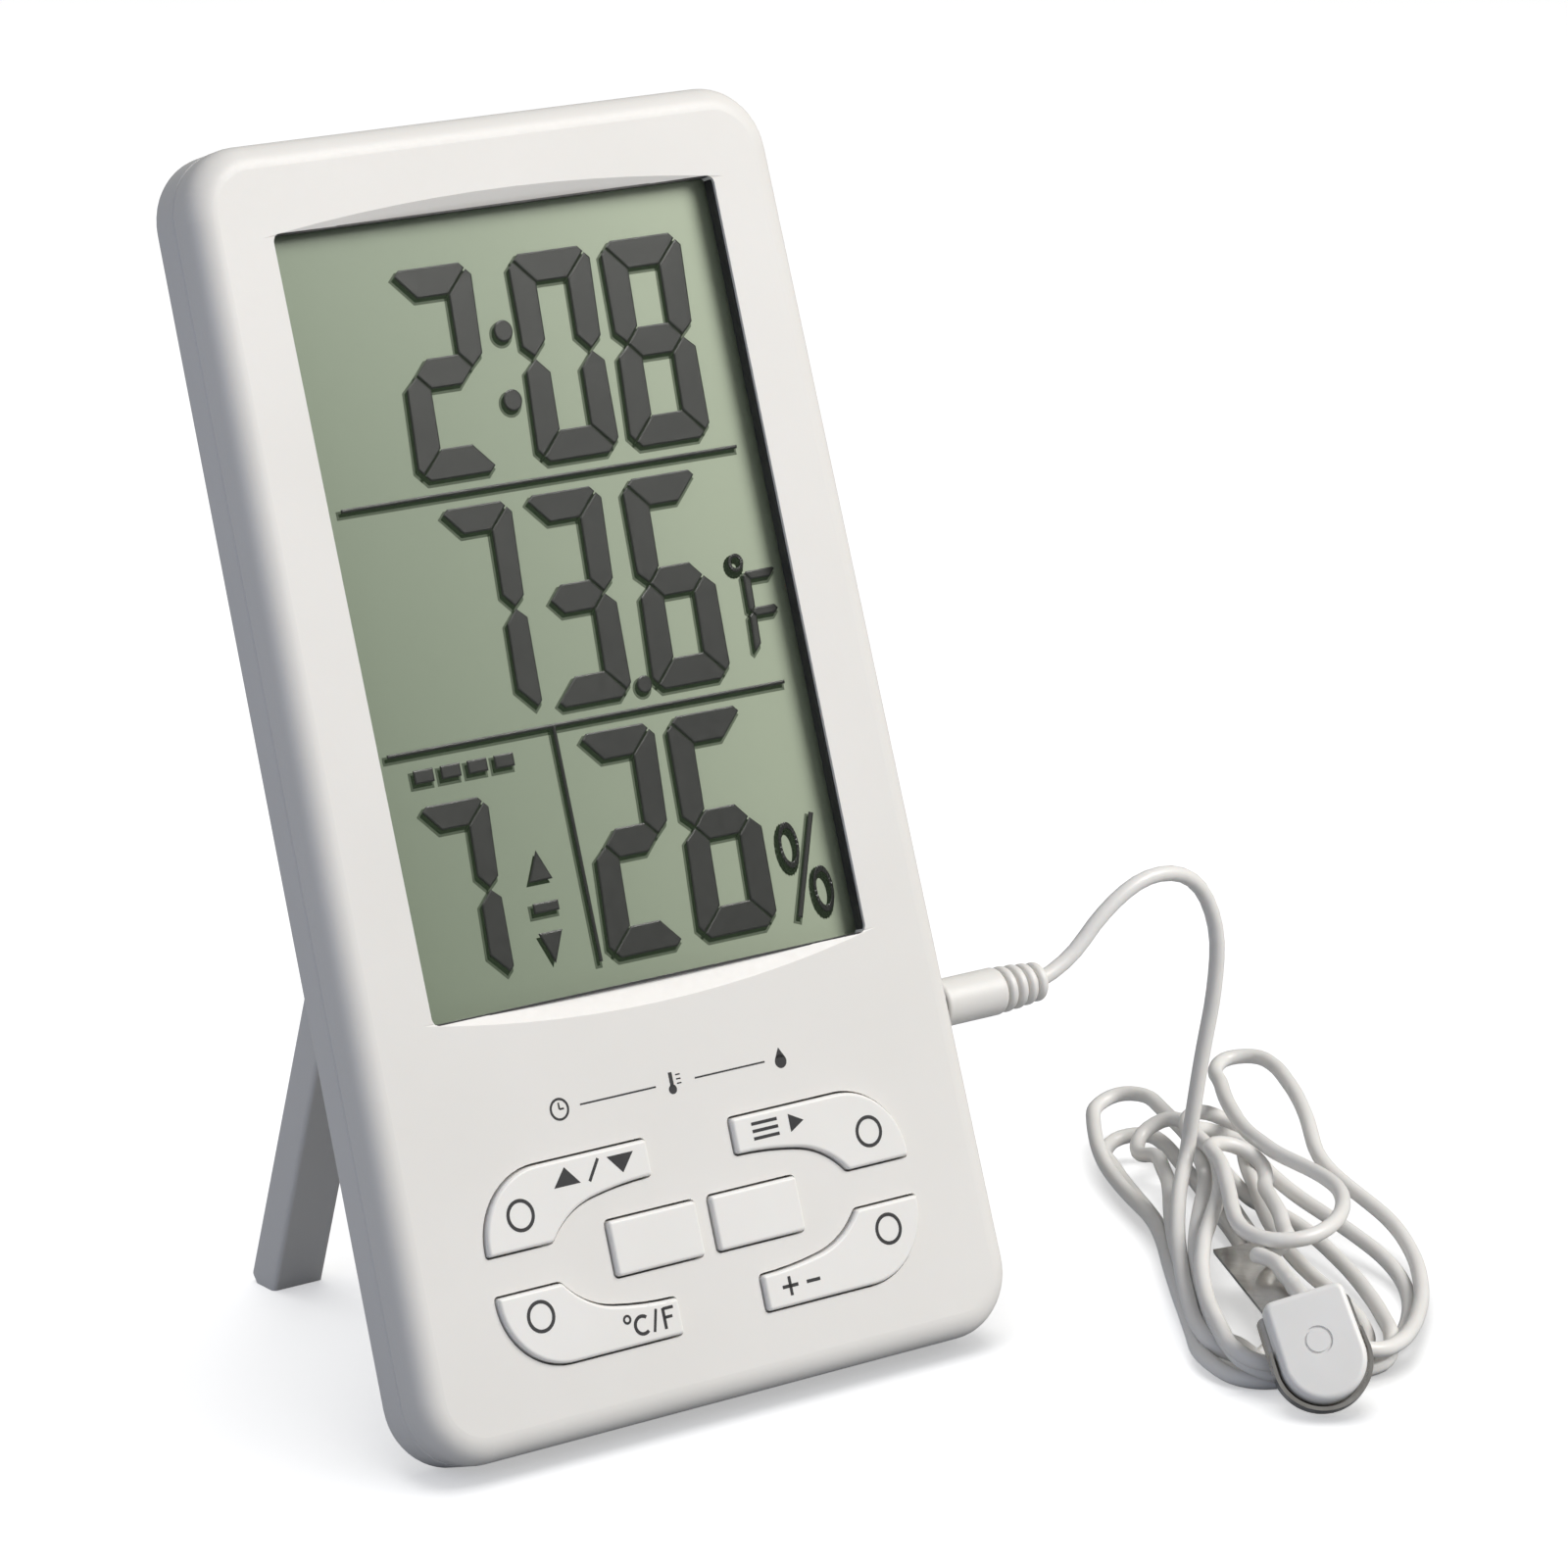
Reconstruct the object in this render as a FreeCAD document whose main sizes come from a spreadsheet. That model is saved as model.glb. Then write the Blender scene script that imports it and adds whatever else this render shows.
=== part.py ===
import FreeCAD, Part
import math, os

# Desk thermometer and hygrometer with a plug-in probe on a lead.
# Local axes used while building: x to the right, y from the face towards the back,
# z up along the face, zero at the bottom edge of the case.  The whole instrument is
# then tilted back about x, so that it stands on its rear bottom edge and its stand.

V = FreeCAD.Vector
ROT = FreeCAD.Rotation
PLM = FreeCAD.Placement

doc = FreeCAD.newDocument("Thermometer")

# ------------------------------------------------------------------ driving sizes
DIMS = [
    ("case_height", 148.0), ("case_width_low", 82.2), ("case_width_top", 78.6), ("corner_rad", 8.0),
    ("split_depth", 4.7), ("rim_depth", 9.5), ("back_depth", 20.0), ("wall", 1.8),
    ("front_round", 3.0), ("rear_round", 1.5), ("seam_chamfer", 0.25), ("lean_deg", 19.5),
    ("window_half", 30.0), ("window_low", 48.36), ("window_high", 137.54), ("window_rad", 1.0),
    ("key_proud", 0.7), ("key_gap", 0.25), ("key_lip", 0.5), ("key_round", 0.4), ("key_travel", 0.7),
    ("glass_thick", 1.0), ("lens_thick", 0.8), ("film_thick", 0.2), ("board_thick", 1.2),
    ("stand_outer", 19.5), ("stand_leg_width", 7.0), ("stand_leg_thick", 5.0), ("stand_reach", 80.4),
    ("stand_open_deg", 38.2), ("hinge_height", 84.0), ("hinge_depth", 17.2), ("hinge_pin_rad", 1.5),
    ("hinge_clear", 0.06), ("cell_rad", 5.15), ("cell_length", 42.5), ("door_thick", 1.4),
    ("screw_rad", 0.95), ("screw_head_rad", 2.0), ("plug_rad", 2.85), ("plug_pin_rad", 1.25),
    ("plug_height", 38.2), ("plug_depth", 5.2), ("lead_dia", 1.9), ("lead_limit_arc", 5.0),
    ("hank_height", 10.0), ("probe_width", 9.8), ("probe_length", 12.8), ("probe_thick", 3.6),
]
sheet = doc.addObject("Spreadsheet::Sheet", "Dims")
D = {}
for row, (alias, value) in enumerate(DIMS, start=1):
    sheet.set("A%d" % row, alias.replace("_", " "))
    sheet.set("B%d" % row, str(value))
    sheet.setAlias("B%d" % row, alias)
    D[alias] = value
doc.recompute()

H = D["case_height"]
LEAN = D["lean_deg"]


def half_width(z):
    """Half of the case width at height z; the sides taper a little towards the top."""
    return (D["case_width_low"] + (D["case_width_top"] - D["case_width_low"]) * z / H) / 2.0


# ------------------------------------------------------------------ small helpers
def bind(obj, prop, value):
    """Sets a number, or binds a property to a sheet expression."""
    if isinstance(value, str):
        obj.setExpression(prop, value)
    elif "." in prop:
        head, tail = prop.rsplit(".", 1)
        base = obj.Placement
        v = V(base.Base)
        setattr(v, tail, value)
        obj.Placement = PLM(v, base.Rotation)
    else:
        setattr(obj, prop, value)


def box(name, lo, hi):
    o = doc.addObject("Part::Box", name)
    o.Length, o.Width, o.Height = hi[0] - lo[0], hi[1] - lo[1], hi[2] - lo[2]
    o.Placement = PLM(V(*lo), ROT())
    return o


def sized(o, **kw):
    for prop, expr in kw.items():
        o.setExpression(prop, expr)
    return o


AXIS = {"z": ROT(), "x": ROT(V(0, 1, 0), 90), "y": ROT(V(1, 0, 0), -90)}


def cyl(name, p, r, length, axis="y"):
    o = doc.addObject("Part::Cylinder", name)
    if isinstance(r, str):
        o.setExpression("Radius", r)
    else:
        o.Radius = r
    o.Height = length
    o.Placement = PLM(V(*p), AXIS[axis])
    return o


def cone(name, p, r1, r2, length, axis="y"):
    o = doc.addObject("Part::Cone", name)
    o.Radius1, o.Radius2, o.Height = r1, r2, length
    o.Placement = PLM(V(*p), AXIS[axis])
    return o


def torus(name, p, r1, r2, axis="x"):
    o = doc.addObject("Part::Torus", name)
    o.Radius1, o.Radius2 = r1, r2
    o.Placement = PLM(V(*p), AXIS[axis])
    return o


def fuse(name, items):
    o = doc.addObject("Part::MultiFuse", name)
    o.Shapes = items
    o.Refine = True
    return o


def cut(name, base, tool):
    if isinstance(tool, list):
        if len(tool) == 1:
            tool = tool[0]
        else:
            tool = fuse(name + "_tools", tool)
    o = doc.addObject("Part::Cut", name)
    o.Base, o.Tool = base, tool
    o.Refine = True
    return o


def common(name, a, b):
    o = doc.addObject("Part::MultiCommon", name)
    o.Shapes = [a, b]
    return o


def group(name, items):
    """Several separate solids of one kind, kept in one sub-part."""
    o = doc.addObject("Part::Compound", name)
    o.Links = items
    return o


def extrude(name, base, y0, length):
    """Pulls an outline that lies in the plane of the face through a depth along y."""
    o = doc.addObject("Part::Extrusion", name)
    o.Base = base
    o.DirMode = "Custom"
    o.Dir = V(0, 1, 0)
    o.LengthFwd = length
    o.Solid = True
    o.Placement = PLM(V(0, y0, 0), ROT())
    return o


def plane_of(body, role):
    for f in body.Origin.OriginFeatures:
        if f.Role == role:
            return f
    raise RuntimeError(role)


def face_sketch(body, name, depth=0.0):
    """A sketch parallel to the face: sketch x is x, sketch y is z, its normal points to the front."""
    s = body.newObject("Sketcher::SketchObject", name)
    s.AttachmentSupport = (plane_of(body, "XZ_Plane"), [""])
    s.MapMode = "FlatFace"
    s.AttachmentOffset = PLM(V(0, 0, -depth), ROT())
    return s


def outline(points):
    """Lines and arcs from a list: ('l', a, b) or ('a', start, middle, end), each point (x, z)."""
    out = []
    for item in points:
        if item[0] == "l":
            out.append(Part.LineSegment(V(*item[1], 0), V(*item[2], 0)))
        else:
            out.append(Part.Arc(V(*item[1], 0), V(*item[2], 0), V(*item[3], 0)))
    return out


def rounded_polygon(points, r):
    """A closed outline with every corner rounded to radius r (or its own radius)."""
    n = len(points)
    segs = []
    ends = []
    for i in range(n):
        p0, p1, p2 = points[i - 1], points[i], points[(i + 1) % n]
        rr = r[i] if isinstance(r, (list, tuple)) else r
        a = V(p0[0] - p1[0], p0[1] - p1[1], 0)
        b = V(p2[0] - p1[0], p2[1] - p1[1], 0)
        a.normalize()
        b.normalize()
        half = a.getAngle(b) / 2.0
        t = rr / math.tan(half)
        s = (p1[0] + a.x * t, p1[1] + a.y * t)
        e = (p1[0] + b.x * t, p1[1] + b.y * t)
        m = V(a.x + b.x, a.y + b.y, 0)
        m.normalize()
        c = (p1[0] + m.x * rr / math.sin(half), p1[1] + m.y * rr / math.sin(half))
        mid = (c[0] - m.x * rr, c[1] - m.y * rr)
        ends.append((s, mid, e))
    for i in range(n):
        s, mid, e = ends[i]
        segs.append(("a", s, mid, e))
        segs.append(("l", e, ends[(i + 1) % n][0]))
    return segs


def rounded_rect(x0, z0, x1, z1, r):
    return rounded_polygon([(x0, z0), (x1, z0), (x1, z1), (x0, z1)], r)


def flat_sketch(name, segs, depth=0.0):
    """A free sketch of one closed outline, parallel to the face."""
    s = doc.addObject("Sketcher::SketchObject", name)
    s.Placement = PLM(V(0, depth, 0), ROT(V(1, 0, 0), 90))
    s.addGeometry(outline(segs), False)
    return s


def slab(name, segs, y0, y1):
    return extrude(name, flat_sketch(name + "_outline", segs), y0, y1 - y0)


def pad(body, name, sketch, length):
    p = body.newObject("PartDesign::Pad", name)
    p.Profile = sketch
    bind(p, "Length", length)
    p.Reversed = True
    body.Tip = p
    doc.recompute()
    return p


def pocket(body, name, sketch, length=None, towards_face=False):
    before = body.Tip.Shape.Volume
    p = body.newObject("PartDesign::Pocket", name)
    p.Profile = sketch
    if length is None:
        p.Type = "ThroughAll"
    else:
        bind(p, "Length", length)
    p.Reversed = towards_face
    body.Tip = p
    doc.recompute()
    if not p.Shape.Volume < before - 1e-3:
        raise RuntimeError("%s cuts nothing" % name)
    return p


def edge_names(shape, test):
    return ["Edge%d" % (i + 1) for i, e in enumerate(shape.Edges) if test(e)]


def blend_edges(body, name, kind, test, size):
    tip = body.Tip
    f = body.newObject(kind, name)
    f.Base = (tip, edge_names(tip.Shape, test))
    if kind == "PartDesign::Fillet":
        bind(f, "Radius", size)
    else:
        bind(f, "Size", size)
    body.Tip = f
    doc.recompute()
    return f


def on_depth(e, y, tol=1e-4):
    b = e.BoundBox
    return abs(b.YMin - y) < tol and abs(b.YMax - y) < tol


def along_y(e):
    b = e.BoundBox
    return (b.YMax - b.YMin) > 1.0 and b.XLength < 1e-3 and b.ZLength < 1e-3


def round_edges(name, base, test, r):
    """Rounds chosen edges of a Part object."""
    doc.recompute()
    o = doc.addObject("Part::Fillet", name)
    o.Base = base
    o.Edges = [(i + 1, r, r) for i, e in enumerate(base.Shape.Edges) if test(e)]
    doc.recompute()
    return o


def case_outline(body, name, depth):
    """The case's outline as a constrained trapezium."""
    s = face_sketch(body, name, depth)
    wb, wt = D["case_width_low"] / 2, D["case_width_top"] / 2
    pts = [(-wb, 0), (wb, 0), (wt, H), (-wt, H)]
    s.addGeometry([Part.LineSegment(V(*pts[i], 0), V(*pts[(i + 1) % 4], 0)) for i in range(4)], False)
    import Sketcher
    for i in range(4):
        s.addConstraint(Sketcher.Constraint("Coincident", i, 2, (i + 1) % 4, 1))
    s.addConstraint(Sketcher.Constraint("Symmetric", 0, 1, 0, 2, -2))
    s.addConstraint(Sketcher.Constraint("Symmetric", 2, 1, 2, 2, -2))
    s.addConstraint(Sketcher.Constraint("PointOnObject", 0, 1, -1))
    a = s.addConstraint(Sketcher.Constraint("DistanceX", 0, 1, 0, 2, 2 * wb))
    b = s.addConstraint(Sketcher.Constraint("DistanceX", 2, 2, 2, 1, 2 * wt))
    c = s.addConstraint(Sketcher.Constraint("DistanceY", 0, 2, 1, 2, H))
    s.setExpression("Constraints[%d]" % a, "Dims.case_width_low")
    s.setExpression("Constraints[%d]" % b, "Dims.case_width_top")
    s.setExpression("Constraints[%d]" % c, "Dims.case_height")
    return s


def inner_outline(inset, r):
    lo, hi = inset, H - inset
    return rounded_polygon([(-half_width(lo) + inset, lo), (half_width(lo) - inset, lo),
                            (half_width(hi) - inset, hi), (-half_width(hi) + inset, hi)], r)


# ------------------------------------------------------------------ key outlines
def mirror(segs, sx, zc=None):
    def m(p):
        return (p[0] * sx, p[1] if zc is None else 2 * zc - p[1])
    return [tuple([it[0]] + [m(p) for p in it[1:]]) for it in segs]


KEY_MID = 19.93          # the keys are laid out above and below this height
petal = [("l", (6.3, 31.3), (20.85, 31.3)), ("a", (20.85, 31.3), (26.86, 28.81), (29.35, 22.8)),
         ("l", (29.35, 22.8), (29.35, 22.5)), ("a", (29.35, 22.5), (29.2, 22.15), (28.85, 22.0)),
         ("l", (28.85, 22.0), (20.9, 22.0)), ("a", (20.9, 22.0), (20.45, 22.1), (20.1, 22.4)),
         ("a", (20.1, 22.4), (17.35, 24.75), (14.0, 25.95)), ("a", (14.0, 25.95), (10.1, 26.5), (6.3, 26.7)),
         ("a", (6.3, 26.7), (5.88, 26.88), (5.7, 27.3)), ("l", (5.7, 27.3), (5.7, 30.7)),
         ("a", (5.7, 30.7), (5.88, 31.12), (6.3, 31.3))]
rect_right = rounded_rect(0.8, 16.5, 13.3, 23.3, 0.7)
KEYS = {
    "key_max_min": (mirror(petal, -1), (-24.2, 26.0)),
    "key_mode": (petal, (24.2, 26.0)),
    "key_unit": (mirror(petal, -1, KEY_MID), (-24.2, 14.4)),
    "key_adjust": (mirror(petal, 1, KEY_MID), (24.2, 14.4)),
    "key_left": (mirror(rect_right, -1), (-7.05, 19.9)),
    "key_right": (rect_right, (7.05, 19.9)),
}

SCREWS = [(-34.4, 142.9), (34.4, 142.9), (-35.6, 9.6), (35.6, 9.6)]
BOARD_SCREWS = [(-33.4, 38.0), (-33.4, 20.0), (33.4, 20.0), (21.0, 37.6)]
PZ, PY = D["plug_height"], D["plug_depth"]
NODES = {}

# ------------------------------------------------------------------ front shell
b = doc.addObject("PartDesign::Body", "front_shell")
pad(b, "front_block", case_outline(b, "front_outline", 0.0), "Dims.split_depth")
blend_edges(b, "front_corners", "PartDesign::Fillet", along_y, "Dims.corner_rad")
blend_edges(b, "front_edge", "PartDesign::Fillet", lambda e: on_depth(e, 0.0), "Dims.front_round")
blend_edges(b, "front_seam", "PartDesign::Chamfer", lambda e: on_depth(e, D["split_depth"]), "Dims.seam_chamfer")
s = face_sketch(b, "front_hollow_outline", D["split_depth"])
s.addGeometry(outline(inner_outline(D["wall"], 6.2)), False)
pocket(b, "front_hollow", s, "Dims.split_depth - Dims.wall", towards_face=True)
s = face_sketch(b, "window_outline")
s.addGeometry(outline(rounded_rect(-D["window_half"], D["window_low"], D["window_half"], D["window_high"], D["window_rad"])), False)
pocket(b, "window", s)
for key, (segs, at) in KEYS.items():
    s = face_sketch(b, key + "_hole_outline")
    s.addGeometry(outline(segs), False)
    pocket(b, key + "_hole", s)

# the shallow scoops over and under the window, each bounded by a long arc
zl, zh, wx = D["window_low"], D["window_high"], 31.4
sag = 3.0
rl = (wx * wx + sag * sag) / (2 * sag)
low_scoop = common("low_scoop", cone("low_scoop_cone", (0, -0.001, zl + 0.35 - sag + rl), rl, rl - 3.3, 1.25),
                   box("low_scoop_limit", (-wx, -0.5, zl - sag - 1), (wx, 1.3, zl + 0.35)))
sag = 2.05
rh = (wx * wx + sag * sag) / (2 * sag)
top_scoop = common("top_scoop", cone("top_scoop_cone", (0, -0.001, zh - 0.3 + sag - rh), rh, rh - 2.3, 1.25),
                   box("top_scoop_limit", (-wx, -0.5, zh - 0.3), (wx, 1.3, zh + sag + 1)))
jack_hole = cyl("jack_hole", (36.0, PY, PZ), 3.05, 8.0, "x")
front = cut("front_case_cut", b, [low_scoop, top_scoop, jack_hole])
bosses = []
holes = []
for i, (x, z) in enumerate(SCREWS):
    bosses.append(cyl("front_boss_%d" % i, (x, 1.0, z), 2.4, D["split_depth"] - 1.0))
    holes.append(cyl("front_boss_hole_%d" % i, (x, 2.6, z), 1.0, 4.0))
for i, (x, z) in enumerate(BOARD_SCREWS):
    bosses.append(cyl("board_post_%d" % i, (x, 1.0, z), 2.0, 5.3))
    holes.append(cyl("board_post_hole_%d" % i, (x, 2.8, z), 0.85, 5.0))
# ribs that locate the display frame
for i, (x0, x1) in enumerate(((-37.0, -35.6), (35.6, 37.0))):
    for j, z in enumerate((60.0, 92.0, 124.0)):
        bosses.append(box("frame_rib_%d_%d" % (i, j), (x0, 1.0, z), (x1, 4.6, z + 6.0)))
NODES["front_case"] = cut("front_case", fuse("front_case_body", [front] + bosses), holes)

# ------------------------------------------------------------------ rear shell
b = doc.addObject("PartDesign::Body", "rear_shell")
pad(b, "rear_block", case_outline(b, "rear_outline", D["split_depth"]), "Dims.rim_depth - Dims.split_depth")
blend_edges(b, "rear_corners", "PartDesign::Fillet", along_y, "Dims.corner_rad")
blend_edges(b, "rear_edge", "PartDesign::Fillet", lambda e: on_depth(e, D["rim_depth"]), "Dims.rear_round")
blend_edges(b, "rear_seam", "PartDesign::Chamfer", lambda e: on_depth(e, D["split_depth"]), "Dims.seam_chamfer")
s = face_sketch(b, "rear_hollow_outline", D["split_depth"])
s.addGeometry(outline(inner_outline(D["wall"], 6.2)), False)
pocket(b, "rear_hollow", s, "Dims.rim_depth - Dims.split_depth - Dims.wall")


def tapered(name, a, ya, c, yc, r):
    """A block that narrows from outline a at depth ya to outline c at depth yc."""
    def wire(rect, y):
        w = [g.toShape() for g in outline(rounded_rect(rect[0], rect[2], rect[1], rect[3], r))]
        wr = Part.Wire(Part.__sortEdges__(w))
        wr.Placement = PLM(V(0, y, 0), ROT(V(1, 0, 0), 90))
        return wr
    o = doc.addObject("Part::Feature", name)
    o.Shape = Part.makeLoft([wire(a, ya), wire(c, yc)], True, True)
    return o


BK = D["back_depth"]
hump = tapered("rear_hump", (-35.0, 35.0, 9.5, 124.6), 9.3, (-30.5, 30.5, 13.0, 120.0), BK, 4.0)
hollow = tapered("rear_hump_hollow", (-33.2, 33.2, 11.3, 122.8), 7.6, (-28.7, 28.7, 14.8, 118.2), BK - D["wall"], 3.0)
shell = cut("rear_shell_open", fuse("rear_shell_joined", [b, hump]), hollow)
HY, HZ = D["hinge_depth"], D["hinge_height"]
so, sw = D["stand_outer"], D["stand_leg_width"]
si = so - sw
adds = [
    box("leg_well_left", (-so - 1.8, 12.8, 12.0), (-si + 1.8, BK - 0.4, HZ)),
    box("leg_well_right", (si - 1.8, 12.8, 12.0), (so + 1.8, BK - 0.4, HZ)),
    box("hinge_well", (-so - 4.8, 12.8, HZ - 8.2), (so + 4.8, BK - 0.4, HZ + 4.9)),
    box("cell_bay_wall", (-26.6, 6.4, 99.9), (26.6, BK - 1.0, 114.1)),
    box("door_bed", (-29.3, 16.7, 97.6), (29.3, 18.5, 118.6)),
]
for i, (x, z) in enumerate(SCREWS):
    adds.append(cyl("rear_boss_%d" % i, (x, D["split_depth"] + 0.02, z), 2.8, D["rim_depth"] - D["split_depth"] - 0.3))
cuts = [
    box("leg_slot_left", (-so - 0.35, 14.3, -2.0), (-si + 0.35, BK + 3, HZ - 4)),
    box("leg_slot_right", (si - 0.35, 14.3, -2.0), (so + 0.35, BK + 3, HZ - 4)),
    box("hinge_slot", (-so - 0.35, 14.3, HZ - 6.6), (so + 0.35, BK + 3, HZ + 3.2)),
    cyl("hinge_hole", (-so - 3.4, HY, HZ), D["hinge_pin_rad"] + D["hinge_clear"], 2 * so + 6.8, "x"),
    box("cell_bay", (-25.1, 7.3, 101.4), (25.1, BK + 3, 112.6)),
    box("door_seat", (-27.3, 18.5, 99.2), (27.3, BK + 3, 130.0)),
    box("door_groove", (-28.2, 18.5, 99.2), (28.2, 19.5, 130.0)),
    cyl("rear_jack_hole", (36.0, PY, PZ), 3.05, 8.0, "x"),
]
for i, (x, z) in enumerate(SCREWS):
    cuts.append(cyl("screw_bore_%d" % i, (x, 4.0, z), 1.2, 9.0))
    cuts.append(cyl("screw_sink_%d" % i, (x, 8.0, z), 2.25, 4.0))
# sound holes over the buzzer and vents over the humidity sensor
for i, (x, z) in enumerate(((0, 50.0), (-3.4, 50.0), (3.4, 50.0), (0, 46.6), (0, 53.4))):
    cuts.append(cyl("sound_hole_%d" % i, (x, BK - 3.0, z), 0.8, 6.0))
for i in range(4):
    cuts.append(box("vent_%d" % i, (-6.5, BK - 3.0, 20.0 + 3.0 * i), (6.5, BK + 2, 21.3 + 3.0 * i)))
for i, (x, z) in enumerate(BOARD_SCREWS):
    cuts.append(cyl("board_screw_relief_%d" % i, (x, 7.0, z), 2.3, 1.75))
# wall-hanging hole: a round mouth with a narrower slot above it
cuts.append(cyl("hang_mouth", (0, D["rim_depth"] - 3.5, 131.0), 3.6, 8.0))
cuts.append(box("hang_slot", (-1.9, D["rim_depth"] - 3.5, 131.0), (1.9, D["rim_depth"] + 3, 137.0)))
cuts.append(cyl("hang_slot_end", (0, D["rim_depth"] - 3.5, 137.0), 1.9, 8.0))
NODES["rear_cover"] = cut("rear_cover", fuse("rear_cover_body", [shell] + adds), cuts)

# ------------------------------------------------------------------ display stack
NODES["window_lens"] = sized(box("window_lens", (-31.8, 1.85, 46.6), (31.8, 2.65, 139.3)), Width="Dims.lens_thick")
NODES["lcd_front_glass"] = sized(box("lcd_front_glass", (-33.0, 2.85, 43.4), (33.0, 3.85, 139.7)), Width="Dims.glass_thick")
NODES["lcd_rear_glass"] = sized(box("lcd_rear_glass", (-33.0, 3.9, 45.8), (33.0, 4.9, 139.7)), Width="Dims.glass_thick")
NODES["reflector_film"] = sized(box("reflector_film", (-32.8, 4.93, 46.0), (32.8, 5.13, 139.5)), Width="Dims.film_thick")
frame = cut("display_frame_ring", slab("display_frame_block", rounded_rect(-35.2, 42.6, 35.2, 140.0, 0.6), 2.8, 6.1),
            [box("display_frame_seat", (-33.15, 2.0, 43.25), (33.15, 5.2, 139.85)),
             box("display_frame_open", (-31.5, 2.0, 43.25), (31.5, 7.0, 138.2))])
NODES["display_frame"] = cut("display_frame", frame, [box("frame_notch_%d" % i, (x, 5.0, 43.0), (x + 3, 7, 46.5)) for i, x in enumerate((-33.2, 30.2))])
NODES["zebra_strip"] = box("zebra_strip", (-28.0, 3.9, 43.6), (28.0, 6.3, 45.3))

# ------------------------------------------------------------------ circuit board and what it carries
board = cut("board_blank", slab("board_block", rounded_rect(-36.0, 5.5, 36.0, 94.0, 1.5), 6.35, 6.35 + D["board_thick"]),
            [box("jack_notch", (27.4, 5.0, 33.6), (40.0, 9.0, 42.9))]
            + [cyl("board_hole_%d" % i, (x, 5.0, z), 1.05, 5.0) for i, (x, z) in enumerate(BOARD_SCREWS)]
            + [cyl("board_clear_%d" % i, (x, 5.0, z), 3.2, 5.0) for i, (x, z) in enumerate(SCREWS[2:])])
NODES["main_board"] = board
BR = 6.35 + D["board_thick"]
NODES["chip_blob"] = round_edges("chip_blob", cyl("chip_blob_disc", (0, BR, 64.0), 6.0, 1.4), lambda e: on_depth(e, BR + 1.4), 1.0)
NODES["crystal_can"] = fuse("crystal_can", [cyl("crystal_barrel", (12.0, BR + 1.1, 70.0), 1.0, 6.0, "x"),
                                            cyl("crystal_lead_a", (9.5, BR + 0.75, 70.0), 0.2, 3.0, "x"),
                                            cyl("crystal_lead_b", (9.5, BR + 1.45, 70.0), 0.2, 3.0, "x")])
NODES["chip_parts"] = group("chip_parts", [box("smd_%d" % i, (x, BR, z), (x + lx, BR + 0.9, z + lz)) for i, (x, z, lx, lz) in enumerate(
    ((-14, 58, 2.0, 1.2), (-14, 61, 2.0, 1.2), (-14, 64, 2.0, 1.2), (9, 58, 1.2, 2.0), (11.5, 58, 1.2, 2.0), (-4, 76, 2.0, 1.2), (1.5, 76, 2.0, 1.2)))])
can = cyl("capacitor_can", (-22.0, BR, 72.0), 2.5, 5.0)
NODES["capacitor"] = round_edges("capacitor", can, lambda e: on_depth(e, BR + 5.0), 0.4)
NODES["humidity_sensor"] = cut("humidity_sensor", box("humidity_block", (-5.0, BR, 21.0), (5.0, BR + 4.2, 29.0)),
                               [box("humidity_slit_%d" % i, (-3.6, BR + 3.0, 22.2 + 1.6 * i), (3.6, BR + 5, 23.0 + 1.6 * i)) for i in range(4)])
bead = doc.addObject("Part::Sphere", "room_bead")
bead.Radius = 1.2
bead.Placement = PLM(V(-27.0, BR + 4.2, 16.0), ROT())
NODES["room_thermistor"] = fuse("room_thermistor", [bead, cyl("room_leg_a", (-27.6, BR, 16.0), 0.22, 4.0), cyl("room_leg_b", (-26.4, BR, 16.0), 0.22, 4.0)])
NODES["jack_socket"] = cut("jack_socket", fuse("jack_body", [box("jack_block", (28.0, 2.6, 34.2), (38.2, 7.55, 42.2)),
                                                               cyl("jack_nose", (38.0, PY, PZ), 2.95, 2.2, "x")]),
                           [cyl("jack_bore", (29.4, PY, PZ), 1.31, 12.0, "x")])

# ------------------------------------------------------------------ keypad and keys
pill_at = [at for segs, at in KEYS.values()]
mat = slab("keypad_sheet", rounded_rect(-30.6, 7.4, 30.6, 32.4, 1.0), 5.3, 6.3)
domes = [cone("keypad_dome_%d" % i, (x, 4.45, z), 2.0, 3.0, 0.95) for i, (x, z) in enumerate(pill_at)]
wells = [cyl("keypad_well_%d" % i, (x, 5.35, z), 1.6, 2.0) for i, (x, z) in enumerate(pill_at)]
NODES["rubber_keypad"] = cut("rubber_keypad", fuse("keypad_body", [mat] + domes), wells)
NODES["contact_pills"] = group("contact_pills", [cyl("pill_%d" % i, (x, 5.36, z), 1.3, 0.4) for i, (x, z) in enumerate(pill_at)])
for key, (segs, at) in KEYS.items():
    sk = flat_sketch(key + "_outline", segs)
    small = doc.addObject("Part::Offset2D", key + "_cap_outline")
    small.Source = sk
    small.setExpression("Value", "-Dims.key_gap")
    small.Join = "Arcs" if "Arcs" in small.getEnumerationsOfProperty("Join") else small.Join
    big = doc.addObject("Part::Offset2D", key + "_lip_outline")
    big.Source = sk
    big.setExpression("Value", "Dims.key_lip")
    doc.recompute()
    cap = extrude(key + "_cap_block", small, -D["key_proud"], D["key_proud"] + 2.2)
    capr = round_edges(key + "_cap", cap, lambda e: on_depth(e, -D["key_proud"]), D["key_round"])
    lip = extrude(key + "_lip", big, 2.05, 0.65)
    stem = cyl(key + "_stem", (at[0], 2.5, at[1]), 1.6, 1.15)
    NODES[key] = fuse(key, [capr, lip, stem])

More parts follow.
